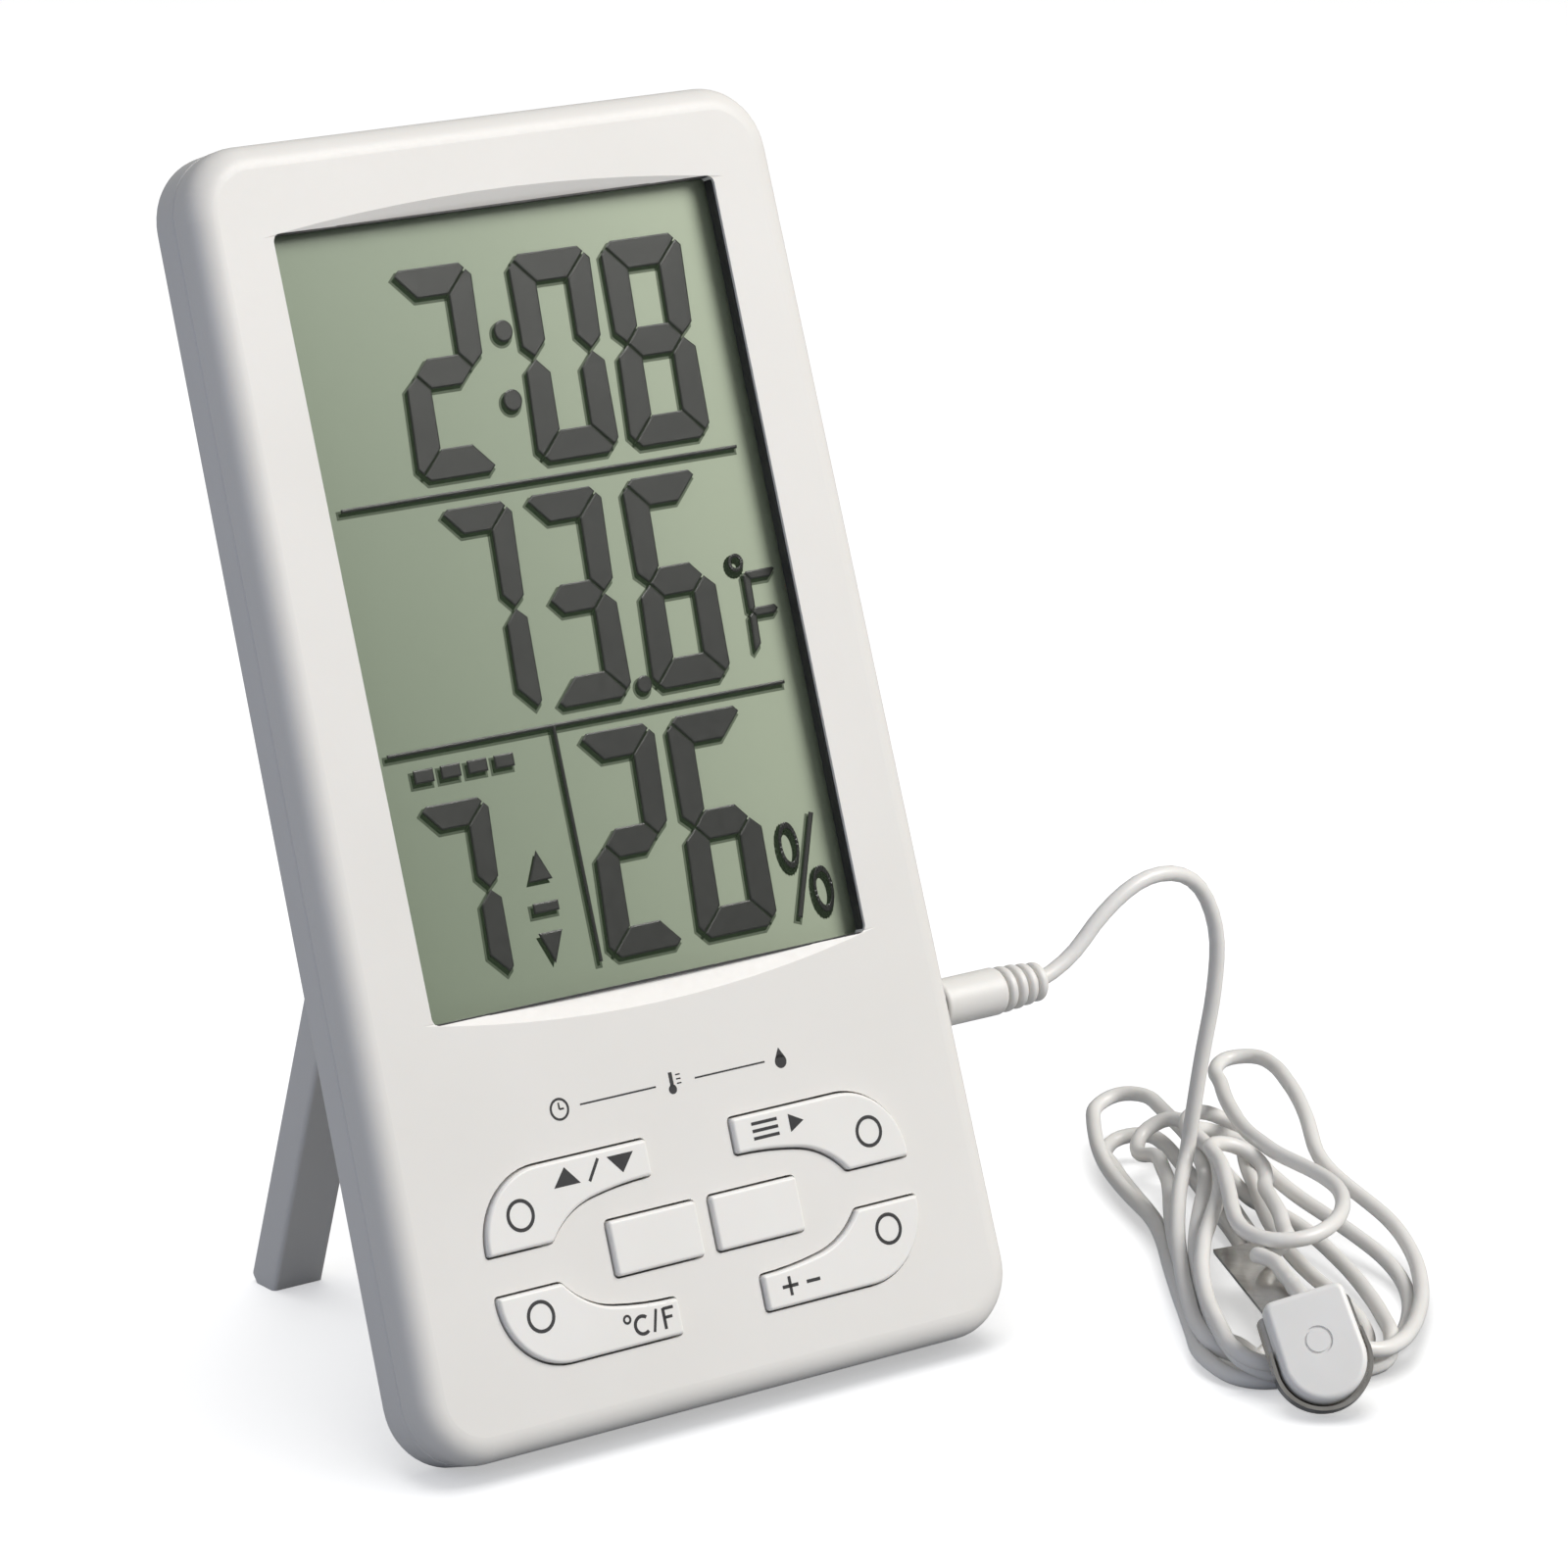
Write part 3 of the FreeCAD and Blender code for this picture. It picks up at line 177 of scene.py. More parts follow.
def panel_look(name):
    """The display's grey-green ground with the faint mottling of the reflector under it, and painted light that makes
    it paler towards the right.
    """
    m, nt, out = material(name)
    N, K = nt.nodes.new, nt.links.new
    tc = N("ShaderNodeTexCoord")
    sep = N("ShaderNodeSeparateXYZ")
    K(tc.outputs["Object"], sep.inputs["Vector"])
    # painted light: the ground runs from darker at the left to paler at the right
    rng = N("ShaderNodeMapRange")
    rng.inputs["From Min"].default_value = -0.030
    rng.inputs["From Max"].default_value = 0.031
    K(sep.outputs["X"], rng.inputs["Value"])
    noise = N("ShaderNodeTexNoise")
    noise.inputs["Scale"].default_value = 2600.0
    noise.inputs["Detail"].default_value = 3.0
    K(tc.outputs["Object"], noise.inputs["Vector"])
    add = N("ShaderNodeMath")
    add.operation = "MULTIPLY_ADD"
    add.inputs[1].default_value = 0.05
    K(noise.outputs["Fac"], add.inputs[0])
    K(rng.outputs["Result"], add.inputs[2])
    ramp = N("ShaderNodeValToRGB")
    ramp.color_ramp.elements[0].position = 0.0
    ramp.color_ramp.elements[0].color = (0.225, 0.272, 0.196, 1)
    ramp.color_ramp.elements[1].position = 1.0
    ramp.color_ramp.elements[1].color = (0.415, 0.470, 0.352, 1)
    mid = ramp.color_ramp.elements.new(0.5)
    mid.color = (0.305, 0.356, 0.262, 1)
    K(add.outputs["Value"], ramp.inputs["Fac"])
    bsdf = N("ShaderNodeBsdfPrincipled")
    K(ramp.outputs["Color"], bsdf.inputs["Base Color"])
    bsdf.inputs["Roughness"].default_value = 0.38
    bsdf.inputs["Metallic"].default_value = 0.12
    bmp = N("ShaderNodeBump")
    bmp.inputs["Strength"].default_value = 0.05
    bmp.inputs["Distance"].default_value = 0.00001
    K(noise.outputs["Fac"], bmp.inputs["Height"])
    K(bmp.outputs["Normal"], bsdf.inputs["Normal"])
    K(bsdf.outputs["BSDF"], out.inputs["Surface"])
    return m


def painted_shadow_tint(name, colour, alpha):
    """A painted shadow: a soft dark tint that lets part of the light through, standing for the shade that a display's
    marks throw on its ground.
    """
    m, nt, out = material(name)
    N, K = nt.nodes.new, nt.links.new
    dif = N("ShaderNodeBsdfDiffuse")
    noise = N("ShaderNodeTexNoise")
    noise.inputs["Scale"].default_value = 1800.0
    K(coords(nt), noise.inputs["Vector"])
    ramp = N("ShaderNodeValToRGB")
    ramp.color_ramp.elements[0].color = (*colour, 1)
    ramp.color_ramp.elements[1].color = (*[c * 1.25 for c in colour], 1)
    K(noise.outputs["Fac"], ramp.inputs["Fac"])
    K(ramp.outputs["Color"], dif.inputs["Color"])
    clear = N("ShaderNodeBsdfTransparent")
    mix = N("ShaderNodeMixShader")
    mix.inputs["Fac"].default_value = alpha
    K(clear.outputs["BSDF"], mix.inputs[1])
    K(dif.outputs["BSDF"], mix.inputs[2])
    K(mix.outputs["Shader"], out.inputs["Surface"])
    return m


COVER = clear_cover("window_cover_look")
PANEL = panel_look("display_panel_look")
GLASS = finish_of("rear_glass_look", (0.72, 0.80, 0.76), (0.78, 0.85, 0.81), rough=(0.03, 0.06), transmission=0.9, bump=0.02)
SEGMENT = finish_of("segment_look", (0.017, 0.018, 0.016), (0.026, 0.027, 0.024), rough=(0.30, 0.40), bump=0.04, coat=0.15)
# painted shadows of the display's marks: a darker core and a fainter edge
PAINTED_SHADOW_CORE = painted_shadow_tint("segment_painted_shadow_core_look", (0.045, 0.07, 0.035), 0.34)
PAINTED_SHADOW_EDGE = painted_shadow_tint("segment_painted_shadow_edge_look", (0.05, 0.08, 0.04), 0.26)

LOOKS = {
    "front_case": CASE, "rear_cover": REAR, "battery_door": REAR, "kickstand": REAR,
    "window_lens": COVER, "lcd_front_glass": PANEL, "lcd_rear_glass": GLASS, "reflector_film": FILM,
    "display_frame": DISPLAY_PLASTIC, "zebra_strip": CARBON, "main_board": BOARD, "chip_blob": RESIN,
    "crystal_can": ZINC, "chip_parts": CERAMIC, "capacitor": BLACK, "humidity_sensor": POLYMER,
    "room_thermistor": BEAD, "jack_socket": BLACK, "rubber_keypad": RUBBER, "contact_pills": CARBON,
    "key_max_min": KEYS, "key_mode": KEYS, "key_unit": KEYS, "key_adjust": KEYS, "key_left": KEYS, "key_right": KEYS,
    "dry_cell": JACKET, "plus_contact": ZINC, "minus_contact": ZINC, "buzzer_disc": BRASS, "plus_wire": WIRE_RED,
    "minus_wire": WIRE_BLACK, "case_screws": ZINC, "board_screws": ZINC, "plug_pin": ZINC, "plug_overmould": PLUG,
    "probe_lead": LEAD, "cable_hank": LEAD, "probe_front": PROBE, "probe_back": PROBE, "probe_bead": BEAD,
    "probe_clip": STEEL,
}
for name, obj in nodes.items():
    look = LOOKS.get(name, CASE)
    if len(obj.material_slots) == 0:
        obj.data.materials.append(look)
    else:
        for s in obj.material_slots:
            s.material = look


# ---------------------------------------------------------------- flat marks
def inset(poly, d):
    """A convex outline with every edge moved in by d."""
    n = len(poly)
    area = sum(poly[i][0] * poly[(i + 1) % n][1] - poly[(i + 1) % n][0] * poly[i][1] for i in range(n))
    turn = 1.0 if area > 0 else -1.0
    lines = []
    for i in range(n):
        (ax, ay), (bx, by) = poly[i], poly[(i + 1) % n]
        ex, ey = bx - ax, by - ay
        length = math.hypot(ex, ey)
        nx, ny = -ey / length * turn, ex / length * turn
        lines.append((ax + nx * d, ay + ny * d, ex, ey))
    out = []
    for i in range(n):
        px, py, ux, uy = lines[i - 1]
        qx, qy, vx, vy = lines[i]
        det = ux * vy - uy * vx
        if abs(det) < 1e-9:
            out.append((qx, qy))
        else:
            t = ((qx - px) * vy - (qy - py) * vx) / det
            out.append((px + ux * t, py + uy * t))
    return out


def prisms(name, polys, y_back, y_front, look, bevel=0.0, body="case"):
    """Thin raised marks: each outline (x, z in mm) stands from y_back to y_front, its front edge bevelled."""
    mesh = bpy.data.meshes.new(name)
    bm = bmesh.new()
    for poly in polys:
        n = len(poly)
        area = sum(poly[i][0] * poly[(i + 1) % n][1] - poly[(i + 1) % n][0] * poly[i][1] for i in range(n))
        if area < 0:
            poly = poly[::-1]
        rings = [(poly, y_back)]
        if bevel > 0:
            rings += [(poly, y_front + (y_back - y_front) * 0.45), (inset(poly, bevel), y_front)]
        else:
            rings += [(poly, y_front)]
        loops = [[bm.verts.new(local(x, y, z)) for x, z in ring] for ring, y in rings]
        for a, b in zip(loops[:-1], loops[1:]):
            for i in range(n):
                j = (i + 1) % n
                bm.faces.new((a[i], a[j], b[j], b[i]))
        bm.faces.new(loops[-1])
        bm.faces.new(loops[0][::-1])
    bmesh.ops.recalc_face_normals(bm, faces=bm.faces)
    bm.to_mesh(mesh)
    bm.free()
    obj = bpy.data.objects.new(name, mesh)
    bpy.context.scene.collection.objects.link(obj)
    mesh.materials.append(look)
    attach(obj, body)
    return obj


def disc(cx, cz, r, n=28, squeeze=1.0):
    return [(cx + r * squeeze * math.cos(2 * math.pi * i / n), cz + r * math.sin(2 * math.pi * i / n)) for i in range(n)]


def bar(x0, z0, x1, z1, w):
    dx, dz = x1 - x0, z1 - z0
    length = math.hypot(dx, dz)
    nx, nz = -dz / length * w / 2, dx / length * w / 2
    return [(x0 + nx, z0 + nz), (x0 - nx, z0 - nz), (x1 - nx, z1 - nz), (x1 + nx, z1 + nz)]


def ring_quads(cx, cz, r, w, n=32, start=0.0, sweep=360.0, rx=1.0):
    out = []
    for i in range(n):
        a = math.radians(start + sweep * i / n)
        b = math.radians(start + sweep * (i + 1) / n)
        out.append([(cx + (r - w / 2) * rx * math.cos(a), cz + (r - w / 2) * math.sin(a)),
                    (cx + (r + w / 2) * rx * math.cos(a), cz + (r + w / 2) * math.sin(a)),
                    (cx + (r + w / 2) * rx * math.cos(b), cz + (r + w / 2) * math.sin(b)),
                    (cx + (r - w / 2) * rx * math.cos(b), cz + (r - w / 2) * math.sin(b))])
    return out


LIT = {"0": "abcdef", "1": "bc", "2": "abged", "3": "abgcd", "4": "fgbc", "5": "afgcd", "6": "afgedc", "7": "abc",
       "8": "abcdefg", "9": "abcdfg", "F": "afge", "-": "g"}
LEAN = math.tan(math.radians(2.8))


def seven(char, x0, x1, z0, z1, t=None, g=0.16):
    """The seven-part figure char in a box; the box's width holds the lean as well."""
    h = z1 - z0
    w = (x1 - x0) - LEAN * h
    t = t or 0.305 * w
    m = h / 2
    c = 0.40 * t
    top = [(c + g, h), (w - c - g, h), (w - c / 2 - g, h - c / 2), (w - t - g * 0.6, h - t), (t + g * 0.6, h - t),
           (c / 2 + g, h - c / 2)]
    upper = [(w, h - c - g), (w - c / 2, h - c / 2 - g), (w - t, h - t - g * 0.6), (w - t, m + t / 2 + g),
             (w - t / 2, m + g * 0.9), (w - 0.06 * t, m + 0.42 * t)]
    middle = [(t / 2 + g, m), (t + g * 0.6, m + t / 2), (w - t - g * 0.6, m + t / 2), (w - t / 2 - g, m),
              (w - t - g * 0.6, m - t / 2), (t + g * 0.6, m - t / 2)]
    parts = {
        "a": top,
        "d": [(x, h - z) for x, z in top],
        "b": upper,
        "c": [(x, h - z) for x, z in upper],
        "f": [(w - x, z) for x, z in upper],
        "e": [(w - x, h - z) for x, z in upper],
        "g": middle,
    }
    return [[(x0 + px + LEAN * pz, z0 + pz) for px, pz in parts[s]] for s in LIT[char]]


SHIFT = 1.93  # the marks lie behind the face
marks = []


def put(polys):
    marks.extend([[(x + SHIFT, z) for x, z in p] for p in polys])


# first row: the clock
put(seven("2", -17.7, -5.4, 108.0, 131.9))
put([disc(-2.75, 123.5, 1.24), disc(-3.35, 115.6, 1.24)])
put(seven("0", -1.5, 10.9, 108.0, 131.9))
put(seven("8", 11.3, 23.7, 108.0, 131.9))
put([bar(-28.6, 106.3, 25.7, 106.3, 0.42)])
# second row: the temperature
put(seven("7", -17.5, -6.4, 80.3, 104.6))
put(seven("3", -6.1, 5.9, 80.3, 104.6))
put([disc(6.55, 81.3, 1.0)])
put(seven("6", 7.7, 19.8, 80.3, 104.6))
put(ring_quads(22.3, 93.1, 0.85, 0.42, 20))
put(seven("F", 22.5, 27.7, 82.4, 91.9, t=1.0, g=0.07))
put([bar(-29.1, 78.6, 25.7, 78.6, 0.42), bar(-6.7, 78.6, -6.7, 51.5, 0.42)])
# third row: day number, trend marks, humidity
put([bar(-26.2 + i * 3.6, 75.8, -23.6 + i * 3.6, 75.8, 1.5) for i in range(4)])
put(seven("7", -27.8, -17.3, 51.8, 72.4))
put([[(-14.1, 60.6 + 1.2), (-10.9, 60.6 + 1.2), (-12.4, 60.6 + 4.6)], bar(-14.2, 58.8, -10.8, 58.8, 1.15),
     [(-14.2, 56.0), (-12.7, 52.4), (-11.0, 56.0)]])
put(seven("2", -5.4, 6.6, 51.4, 77.0))
put(seven("6", 7.1, 19.4, 51.4, 77.0))
put(ring_quads(21.75, 60.0, 2.35, 0.72, 26, rx=0.50))
put(ring_quads(25.35, 54.3, 2.35, 0.72, 26, rx=0.50))
put([bar(21.3, 51.6, 25.7, 63.2, 0.62)])

prisms("display_marks", marks, 2.86, 2.72, SEGMENT, bevel=0.17)
# painted shadow: copies of the marks moved down and to the left, a core and a wider edge, tinted dark on the panel
painted_shadow_core = [[(x - 0.42, z - 0.42) for x, z in p] for p in marks]
prisms("display_painted_shadow_core", painted_shadow_core, 2.848, 2.842, PAINTED_SHADOW_CORE)


def grown(poly, d):
    return inset(poly, -d) if len(poly) > 3 else poly


prisms("display_painted_shadow_edge", [grown([(x - 0.45, z - 0.45) for x, z in p], 0.28) for p in marks], 2.838, 2.834, PAINTED_SHADOW_EDGE)


# painted shade: dark bands standing for the shade that falls on the opening's inner wall
wall_shade_bands = []
X0, X1, Z0, Z1, W = -30.0, 30.0, 48.36, 137.54, 0.16
wall_shade_bands += [[(X0 - 0.05, Z0), (X0 + W, Z0), (X0 + W, Z1), (X0 - 0.05, Z1)], [(X1 - W, Z0), (X1 + 0.05, Z0), (X1 + 0.05, Z1), (X1 - W, Z1)],
           [(X0, Z1 - W), (X1, Z1 - W), (X1, Z1 + 0.05), (X0, Z1 + 0.05)], [(X0, Z0 - 0.05), (X1, Z0 - 0.05), (X1, Z0 + W), (X0, Z0 + W)]]
prisms("window_wall_painted_shade", wall_shade_bands, 1.83, 0.42, BLACK)

# ---------------------------------------------------------------- legends printed on the keys and the face
def legend(name, polys, body, y_face):
    return prisms(name, polys, y_face + 0.02, y_face - 0.022, INK, body=body)


TOP = -0.70
up = [[(-19.2, 28.0), (-15.6, 28.0), (-17.4, 30.1)]]
down = [[(-11.6, 30.1), (-8.0, 30.1), (-9.8, 28.0)]]
legend("mark_max_min", up + down + [bar(-14.4, 27.9, -12.8, 30.2, 0.38)] + ring_quads(-24.2, 26.0, 1.65, 0.42), "key_max_min", TOP)
legend("mark_mode", [bar(8.4, 28.2 + i * 0.85, 12.0, 28.2 + i * 0.85, 0.38) for i in range(3)]
       + [[(13.6, 28.0), (13.6, 30.1), (15.6, 29.05)]] + ring_quads(24.2, 26.0, 1.65, 0.42), "key_mode", TOP)
legend("mark_unit", ring_quads(-13.2, 11.9, 0.42, 0.28, 14) + ring_quads(-11.3, 10.9, 1.0, 0.4, 18, 50, 260)
       + [bar(-9.9, 9.8, -9.2, 12.3, 0.34)]
       + [bar(-8.3, 9.8, -8.3, 12.2, 0.4), bar(-8.3, 12.1, -6.9, 12.1, 0.36), bar(-8.3, 11.1, -7.2, 11.1, 0.34)]
       + ring_quads(-24.2, 14.6, 1.65, 0.42), "key_unit", TOP)
legend("mark_adjust", [bar(8.2, 11.05, 10.4, 11.05, 0.4), bar(9.3, 9.95, 9.3, 12.15, 0.4), bar(11.6, 11.05, 13.5, 11.05, 0.4)]
       + ring_quads(24.2, 14.6, 1.65, 0.42), "key_adjust", TOP)
# a row of plain pictograms over the keys: clock, thermometer, drop
row = []
row += ring_quads(-16.0, 36.45, 1.15, 0.28) + [bar(-16.0, 36.45, -16.0, 37.2, 0.22), bar(-16.0, 36.45, -15.4, 36.45, 0.22)]
row += [bar(-0.6, 36.0, -0.6, 37.7, 0.5), disc(-0.6, 35.75, 0.55, 18)] + [bar(0.1, 36.3 + 0.5 * i, 0.7, 36.3 + 0.5 * i, 0.16) for i in range(3)]
row += [disc(14.6, 36.1, 0.8, 20), [(13.92, 36.5), (15.28, 36.5), (14.6, 37.7)]]
row += [bar(-13.2, 36.45, -2.8, 36.45, 0.2), bar(2.6, 36.45, 12.4, 36.45, 0.2)]
legend("mark_face_row", row, "case", 0.0)

# ---------------------------------------------------------------- the lead: one line from the plug to the probe
ROUTE = [(56.6, -18.873, 37.030), (61.0, -18.87, 38.2), (66.5, -18.9, 44.0), (73.3, -19.0, 47.5), (80.6, -19.0, 46.0),
         (84.5, -19.0, 38.8), (84.1, -18.9, 30.5), (82.5, -18.8, 23.5), (81.3, -18.7, 16.5)]
HANK = [
    (80.4, -18.5, 10.0), (77.6, -21.1, 9.0), (74.8, -23.9, 8.4), (72.2, -26.8, 7.7), (69.6, -29.8, 7.0), (67.1, -32.9, 6.4),
    (64.7, -36.1, 6.1), (62.3, -39.3, 5.9), (60.0, -42.5, 5.5), (57.8, -45.9, 5.1), (55.7, -49.2, 4.4), (53.8, -52.7, 4.1),
    (53.3, -56.6, 2.7), (56.8, -58.4, 1.0), (60.7, -56.9, 1.0), (63.8, -54.4, 1.0), (66.7, -51.7, 1.0), (69.3, -48.7, 1.0),
    (71.7, -45.5, 1.0), (73.9, -42.1, 1.0), (75.9, -38.6, 1.0), (77.7, -35.1, 1.0), (79.5, -31.5, 1.0), (81.3, -27.9, 1.2),
    (83.0, -24.3, 1.5), (84.6, -20.7, 1.7), (86.2, -17.0, 2.0), (87.8, -13.4, 2.3), (89.5, -9.7, 2.5), (91.1, -6.1, 2.6),
    (92.6, -2.4, 2.8), (94.0, 1.3, 3.2), (94.6, 5.4, 3.7), (91.2, 8.1, 3.1), (87.5, 6.2, 2.2), (86.0, 2.4, 2.2),
    (84.2, -1.1, 2.1), (82.6, -4.8, 2.0), (81.1, -8.5, 1.8), (79.6, -12.2, 1.7), (78.0, -15.9, 1.5), (76.1, -19.4, 1.3),
    (74.0, -22.8, 1.1), (71.7, -26.1, 1.0), (69.4, -29.3, 1.0), (67.1, -32.6, 1.0), (64.9, -36.0, 1.0), (62.8, -39.3, 1.0),
    (60.7, -42.8, 1.0), (58.7, -46.2, 1.0), (56.7, -49.7, 1.0), (54.9, -53.2, 1.0), (53.0, -56.9, 1.0), (53.5, -61.0, 1.0),
    (56.8, -63.1, 2.7), (60.6, -61.6, 2.7), (63.5, -59.1, 1.5), (66.3, -56.3, 1.1), (68.9, -53.2, 1.0), (71.3, -50.0, 1.0),
    (73.5, -46.7, 1.0), (75.4, -43.2, 1.3), (77.2, -39.6, 1.8), (78.9, -36.0, 2.2), (80.5, -32.4, 2.4), (82.2, -28.8, 2.6),
    (83.8, -25.1, 2.9), (85.6, -21.5, 3.1), (87.3, -17.9, 3.2), (89.1, -14.4, 3.5), (90.9, -10.8, 4.1), (92.6, -7.3, 4.5),
    (94.2, -3.6, 4.8), (95.7, 0.1, 5.2), (97.0, 3.9, 5.4), (98.2, 7.7, 5.7), (99.3, 11.6, 6.2), (97.4, 15.4, 5.8),
    (93.3, 15.2, 4.7), (90.8, 12.0, 4.2), (88.4, 8.8, 4.1), (86.1, 5.5, 3.9), (84.1, 2.1, 3.5), (82.3, -1.5, 3.2),
    (80.7, -5.2, 3.0), (79.2, -8.9, 2.9), (77.8, -12.6, 2.9), (76.3, -16.3, 3.0), (74.6, -19.9, 3.0), (72.6, -23.4, 2.8),
    (70.4, -26.7, 2.8), (68.1, -30.0, 2.8), (65.9, -33.3, 2.7), (63.7, -36.7, 2.6), (61.5, -40.0, 2.6), (59.4, -43.4, 2.5),
    (57.2, -46.8, 2.4), (55.0, -50.2, 2.4), (52.9, -53.5, 1.9), (51.4, -57.2, 2.0), (51.5, -61.3, 1.2), (53.9, -64.5, 1.0),
    (57.9, -65.4, 1.0), (61.7, -66.7, 1.0), (65.4, -68.3, 1.0), (69.5, -68.2, 1.2), (72.2, -65.5, 3.0), (74.5, -62.2, 2.7),
    (76.7, -58.9, 2.2), (78.7, -55.5, 2.2), (80.5, -51.9, 2.3), (82.2, -48.3, 2.4), (83.7, -44.6, 2.6), (85.0, -40.8, 2.8),
    (86.2, -37.0, 3.1), (87.1, -33.1, 3.4), (87.6, -29.1, 3.7), (87.9, -25.1, 3.8), (88.2, -21.1, 3.8), (88.8, -17.4, 5.0),
    (89.8, -13.5, 5.7), (91.1, -9.8, 6.1), (91.9, -5.8, 6.1), (94.4, -2.7, 7.3), (94.0, 1.4, 7.1), (90.6, 2.9, 5.0),
    (87.9, -0.0, 3.5), (88.0, -4.0, 4.9), (85.9, -7.6, 4.4), (83.9, -11.0, 4.3), (81.5, -14.2, 4.2), (79.0, -17.3, 4.1),
    (76.5, -20.4, 4.1), (74.0, -23.6, 4.3), (71.6, -26.7, 4.5), (69.2, -30.0, 4.5), (67.0, -33.3, 4.4), (64.8, -36.6, 4.2),
    (62.7, -40.1, 4.1), (60.7, -43.5, 3.9), (58.7, -47.0, 3.6), (56.8, -50.4, 3.1), (55.3, -54.1, 2.8), (55.2, -58.2, 3.7),
    (56.8, -61.2, 1.1), (60.1, -63.4, 1.0), (64.0, -64.5, 1.0), (68.1, -64.2, 1.0), (71.6, -62.2, 1.0), (73.9, -59.0, 1.4),
    (75.5, -55.3, 1.8), (76.8, -51.5, 2.1), (77.8, -47.7, 2.3), (78.7, -43.8, 2.6), (79.8, -39.9, 3.0), (81.0, -36.2, 3.6),
    (82.6, -32.5, 4.1), (84.3, -28.9, 4.6), (86.2, -25.5, 5.2), (88.3, -22.1, 5.9), (90.5, -18.8, 5.5), (92.8, -15.5, 5.2),
    (95.0, -12.2, 5.8), (97.6, -9.2, 6.2), (99.0, -5.4, 7.1), (95.9, -2.8, 8.8), (92.0, -4.1, 8.7), (90.2, -7.7, 7.6),
    (88.1, -11.1, 7.6), (86.0, -14.5, 7.6), (83.8, -17.8, 7.8), (81.3, -21.0, 8.0), (78.7, -24.0, 7.9), (75.9, -26.9, 7.8),
    (73.1, -29.7, 7.6), (70.3, -32.6, 7.3), (67.6, -35.5, 6.8), (65.1, -38.6, 6.4), (62.8, -41.8, 5.9), (60.5, -45.1, 5.6),
    (58.4, -48.4, 5.3), (56.3, -51.8, 4.7), (54.4, -55.3, 5.0), (52.7, -58.9, 4.3), (51.8, -62.8, 3.4), (54.2, -66.0, 2.1),
    (58.3, -65.9, 2.7), (62.1, -67.0, 2.9), (66.1, -67.7, 3.0), (69.4, -65.9, 1.2), (73.1, -64.5, 1.0), (76.5, -62.4, 1.0),
    (79.6, -59.9, 1.0), (82.5, -57.1, 1.1), (85.1, -54.1, 1.4), (87.2, -50.7, 1.8), (88.8, -47.1, 2.3), (89.9, -43.2, 2.8),
    (90.6, -39.3, 3.2), (91.0, -35.4, 3.7), (91.3, -31.4, 4.2), (91.5, -27.4, 4.7), (91.8, -23.5, 5.4), (92.2, -19.6, 6.3),
    (93.0, -15.9, 7.4), (94.2, -11.9, 7.6), (90.8, -9.4, 9.2), (87.1, -11.4, 10.1), (86.5, -15.4, 9.4), (84.6, -19.0, 9.4),
    (82.4, -22.3, 9.4), (79.9, -25.5, 9.3), (77.3, -28.5, 9.3), (74.5, -31.3, 9.2), (71.5, -34.0, 9.1), (68.6, -36.7, 8.9),
    (65.6, -39.4, 8.7), (62.9, -42.3, 8.2), (60.3, -45.3, 7.7), (58.0, -48.5, 7.2), (55.8, -51.8, 6.7), (53.7, -55.2, 6.8),
    (52.0, -58.8, 6.2), (50.2, -62.5, 5.5), (51.8, -66.2, 4.1), (55.9, -66.4, 3.9), (59.8, -66.2, 4.8), (63.1, -68.7, 4.5),
    (66.9, -69.9, 3.6), (70.7, -68.7, 3.5), (74.0, -66.4, 3.2), (77.1, -63.9, 2.8), (80.1, -61.2, 2.7), (83.0, -58.5, 2.7),
    (85.7, -55.5, 2.8), (88.2, -52.4, 3.0), (90.5, -49.2, 3.3), (92.5, -45.7, 3.7), (94.2, -42.1, 4.2), (95.4, -38.3, 4.8),
    (95.9, -34.4, 5.5), (95.9, -30.5, 6.5), (96.1, -26.7, 7.5), (97.3, -23.0, 8.6), (99.4, -19.7, 9.5), (101.6, -16.4, 10.1),
    (103.6, -13.0, 10.6), (105.5, -9.5, 11.0), (107.2, -5.9, 11.3), (108.8, -2.2, 11.7), (109.2, 1.9, 12.1), (105.5, 4.3, 11.8),
    (102.0, 2.1, 11.3), (100.2, -1.5, 11.2), (97.9, -4.7, 11.2), (95.7, -8.1, 11.2), (93.7, -11.6, 11.2), (91.8, -15.1, 11.1),
    (90.2, -18.8, 11.1), (88.9, -22.5, 11.3), (87.9, -26.4, 11.2), (87.4, -30.4, 11.3), (86.9, -34.4, 11.4), (86.0, -38.3, 11.5),
    (84.5, -42.0, 11.6), (82.2, -45.3, 11.5), (79.4, -48.1, 11.4), (75.9, -50.2, 11.1), (71.9, -50.9, 10.7), (68.3, -48.9, 10.5),
    (67.4, -44.9, 10.6), (69.0, -41.1, 10.8), (71.2, -37.8, 11.1), (73.6, -34.6, 11.2), (75.9, -31.4, 11.2), (78.2, -28.1, 11.4),
    (80.4, -24.7, 11.4), (81.5, -20.8, 12.1), (85.9, -20.5, 11.3), (87.9, -23.8, 9.5), (85.7, -27.3, 8.7), (82.9, -30.1, 9.0),
    (80.8, -33.5, 9.3), (78.8, -37.0, 9.4), (76.7, -40.4, 9.5), (74.4, -43.5, 9.3), (72.3, -47.2, 9.5), (68.4, -47.7, 8.2),
    (64.8, -49.1, 9.8), (64.9, -53.2, 10.1), (63.0, -56.6, 10.0), (60.9, -60.5, 10.6), (60.6, -61.2, 10.4), (58.9, -63.3, 11.0),
    (56.9, -66.2, 12.1), (55.0, -69.6, 12.3),
]
line = [Vector(p) / 1000.0 for p in ROUTE + HANK]
curve = bpy.data.curves.new("lead_line", "CURVE")
curve.dimensions = "3D"
spline = curve.splines.new("NURBS")
spline.points.add(len(line) - 1)
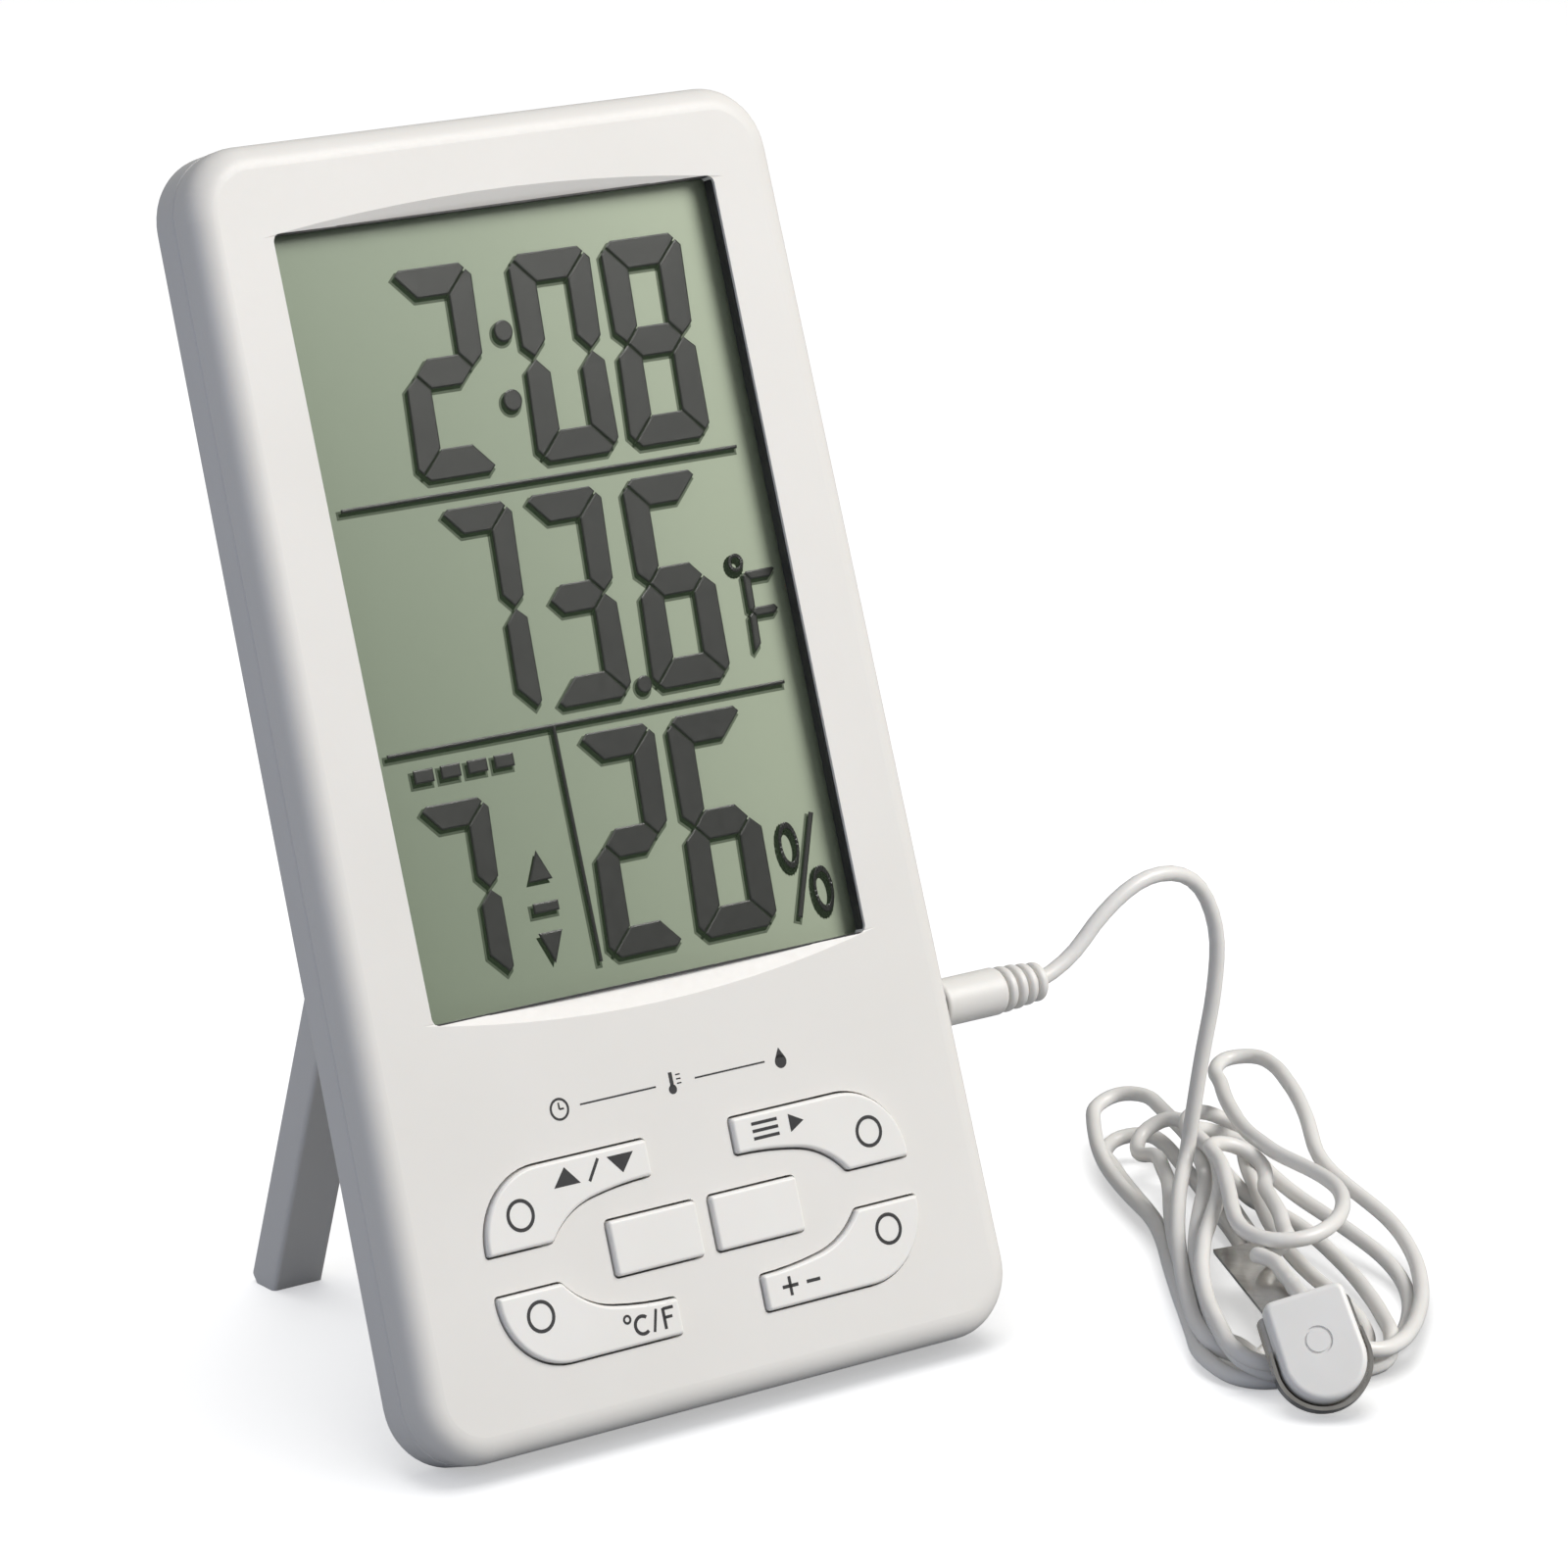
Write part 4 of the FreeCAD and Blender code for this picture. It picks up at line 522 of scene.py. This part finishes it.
for p, co in zip(spline.points, line):
    p.co = (*co, 1.0)
spline.order_u = 3
spline.use_endpoint_u = True
spline.resolution_u = 4
curve.bevel_depth = 0.00095
curve.bevel_resolution = 5
curve.use_fill_caps = True
lead = bpy.data.objects.new("lead_cord", curve)
bpy.context.scene.collection.objects.link(lead)
curve.materials.append(LEAD)
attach(lead, "lead")
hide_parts("probe_lead", "cable_hank")

# ---------------------------------------------------------------- floor, light and camera
floor_mesh = bpy.data.meshes.new("floor")
floor_mesh.from_pydata([(-4, -4, 0), (4, -4, 0), (4, 4, 0), (-4, 4, 0)], [], [(0, 1, 2, 3)])
floor = bpy.data.objects.new("floor", floor_mesh)
bpy.context.scene.collection.objects.link(floor)
floor_mesh.materials.append(finish_of("floor_look", (0.93, 0.93, 0.93), (0.95, 0.95, 0.95), rough=(0.7, 0.8), grain=60, bump=0.0,
                                      cloud=6, specular=0.1))
floor_tree = floor_mesh.materials[0].node_tree
glow = floor_tree.nodes.new("ShaderNodeEmission")
glow.inputs["Color"].default_value = (1.0, 1.0, 1.0, 1)
seen = floor_tree.nodes.new("ShaderNodeLightPath")
strength = floor_tree.nodes.new("ShaderNodeMath")
strength.operation = "MULTIPLY"
strength.inputs[1].default_value = 0.41
floor_tree.links.new(seen.outputs["Is Camera Ray"], strength.inputs[0])
floor_tree.links.new(strength.outputs["Value"], glow.inputs["Strength"])
total = floor_tree.nodes.new("ShaderNodeAddShader")
floor_out = [n for n in floor_tree.nodes if n.type == "OUTPUT_MATERIAL"][0]
floor_bsdf = [n for n in floor_tree.nodes if n.type == "BSDF_PRINCIPLED"][0]
dim = floor_tree.nodes.new("ShaderNodeBsdfDiffuse")
dim.inputs["Color"].default_value = (0.42, 0.43, 0.45, 1)
pick = floor_tree.nodes.new("ShaderNodeMixShader")
floor_tree.links.new(seen.outputs["Is Camera Ray"], pick.inputs["Fac"])
floor_tree.links.new(dim.outputs["BSDF"], pick.inputs[1])
floor_tree.links.new(floor_bsdf.outputs["BSDF"], pick.inputs[2])
floor_tree.links.new(pick.outputs["Shader"], total.inputs[0])
floor_tree.links.new(glow.outputs["Emission"], total.inputs[1])
floor_tree.links.new(total.outputs["Shader"], floor_out.inputs["Surface"])

world = bpy.data.worlds.new("studio")
bpy.context.scene.world = world
world.use_nodes = True
wn = world.node_tree
wn.nodes.clear()
wout = wn.nodes.new("ShaderNodeOutputWorld")
wbg = wn.nodes.new("ShaderNodeBackground")
wbg.inputs["Color"].default_value = (0.999, 1.0, 0.984, 1)
wbg.inputs["Strength"].default_value = 0.338
wn.links.new(wbg.outputs["Background"], wout.inputs["Surface"])


def area(name, at, aim, size, power, colour=(1, 1, 1), size_y=None):
    light = bpy.data.lights.new(name, "AREA")
    light.shape = "RECTANGLE"
    light.size = size
    light.size_y = size_y or size
    light.energy = power
    light.color = colour
    obj = bpy.data.objects.new(name, light)
    bpy.context.scene.collection.objects.link(obj)
    obj.location = at
    obj.rotation_euler = (Vector(aim) - Vector(at)).to_track_quat("-Z", "Y").to_euler()
    return obj


key = area("key_light", (0.75, -0.95, 1.15), (0.02, 0.0, 0.06), 0.9, 24.19, (1.0, 0.978, 0.952))
fill = area("left_fill", (-1.2, -0.3, 0.5), (0.0, 0.0, 0.06), 0.9, 1.402, (0.32, 0.486, 1.0))
sweep = area("sweep_light", (0.05, 0.1, 1.6), (0.02, 0.0, 0.0), 1.3, 14.0, (1.0, 1.0, 1.0))
floor_only = bpy.data.collections.new("floor_only")
floor_only.objects.link(floor)
sweep.light_linking.receiver_collection = floor_only
all_but_floor = bpy.data.collections.new("all_but_floor")
all_but_floor.objects.link(floor)
all_but_floor.collection_objects[0].light_linking.link_state = "EXCLUDE"
key.light_linking.receiver_collection = all_but_floor

cam = bpy.data.cameras.new("camera")
cam.lens = 152.66
cam.sensor_width = 36.0
cam.sensor_fit = "HORIZONTAL"
cam.clip_start = 0.01
cam.clip_end = 50.0
cam_obj = bpy.data.objects.new("camera", cam)
bpy.context.scene.collection.objects.link(cam_obj)
fwd = Vector((0.57369, 0.77232, -0.27279)).normalized()
right = fwd.cross(Vector((0, 0, 1))).normalized()
upv = right.cross(fwd)
rot = Matrix((right, upv, -fwd)).transposed()
cam_obj.matrix_world = Matrix.Translation((-0.414885, -0.603305, 0.273995)) @ rot.to_4x4()
bpy.context.scene.camera = cam_obj
bpy.context.scene.view_settings.view_transform = "Standard"
bpy.context.scene.view_settings.look = "None"
bpy.context.scene.view_settings.exposure = 0.0

bpy.context.view_layer.update()
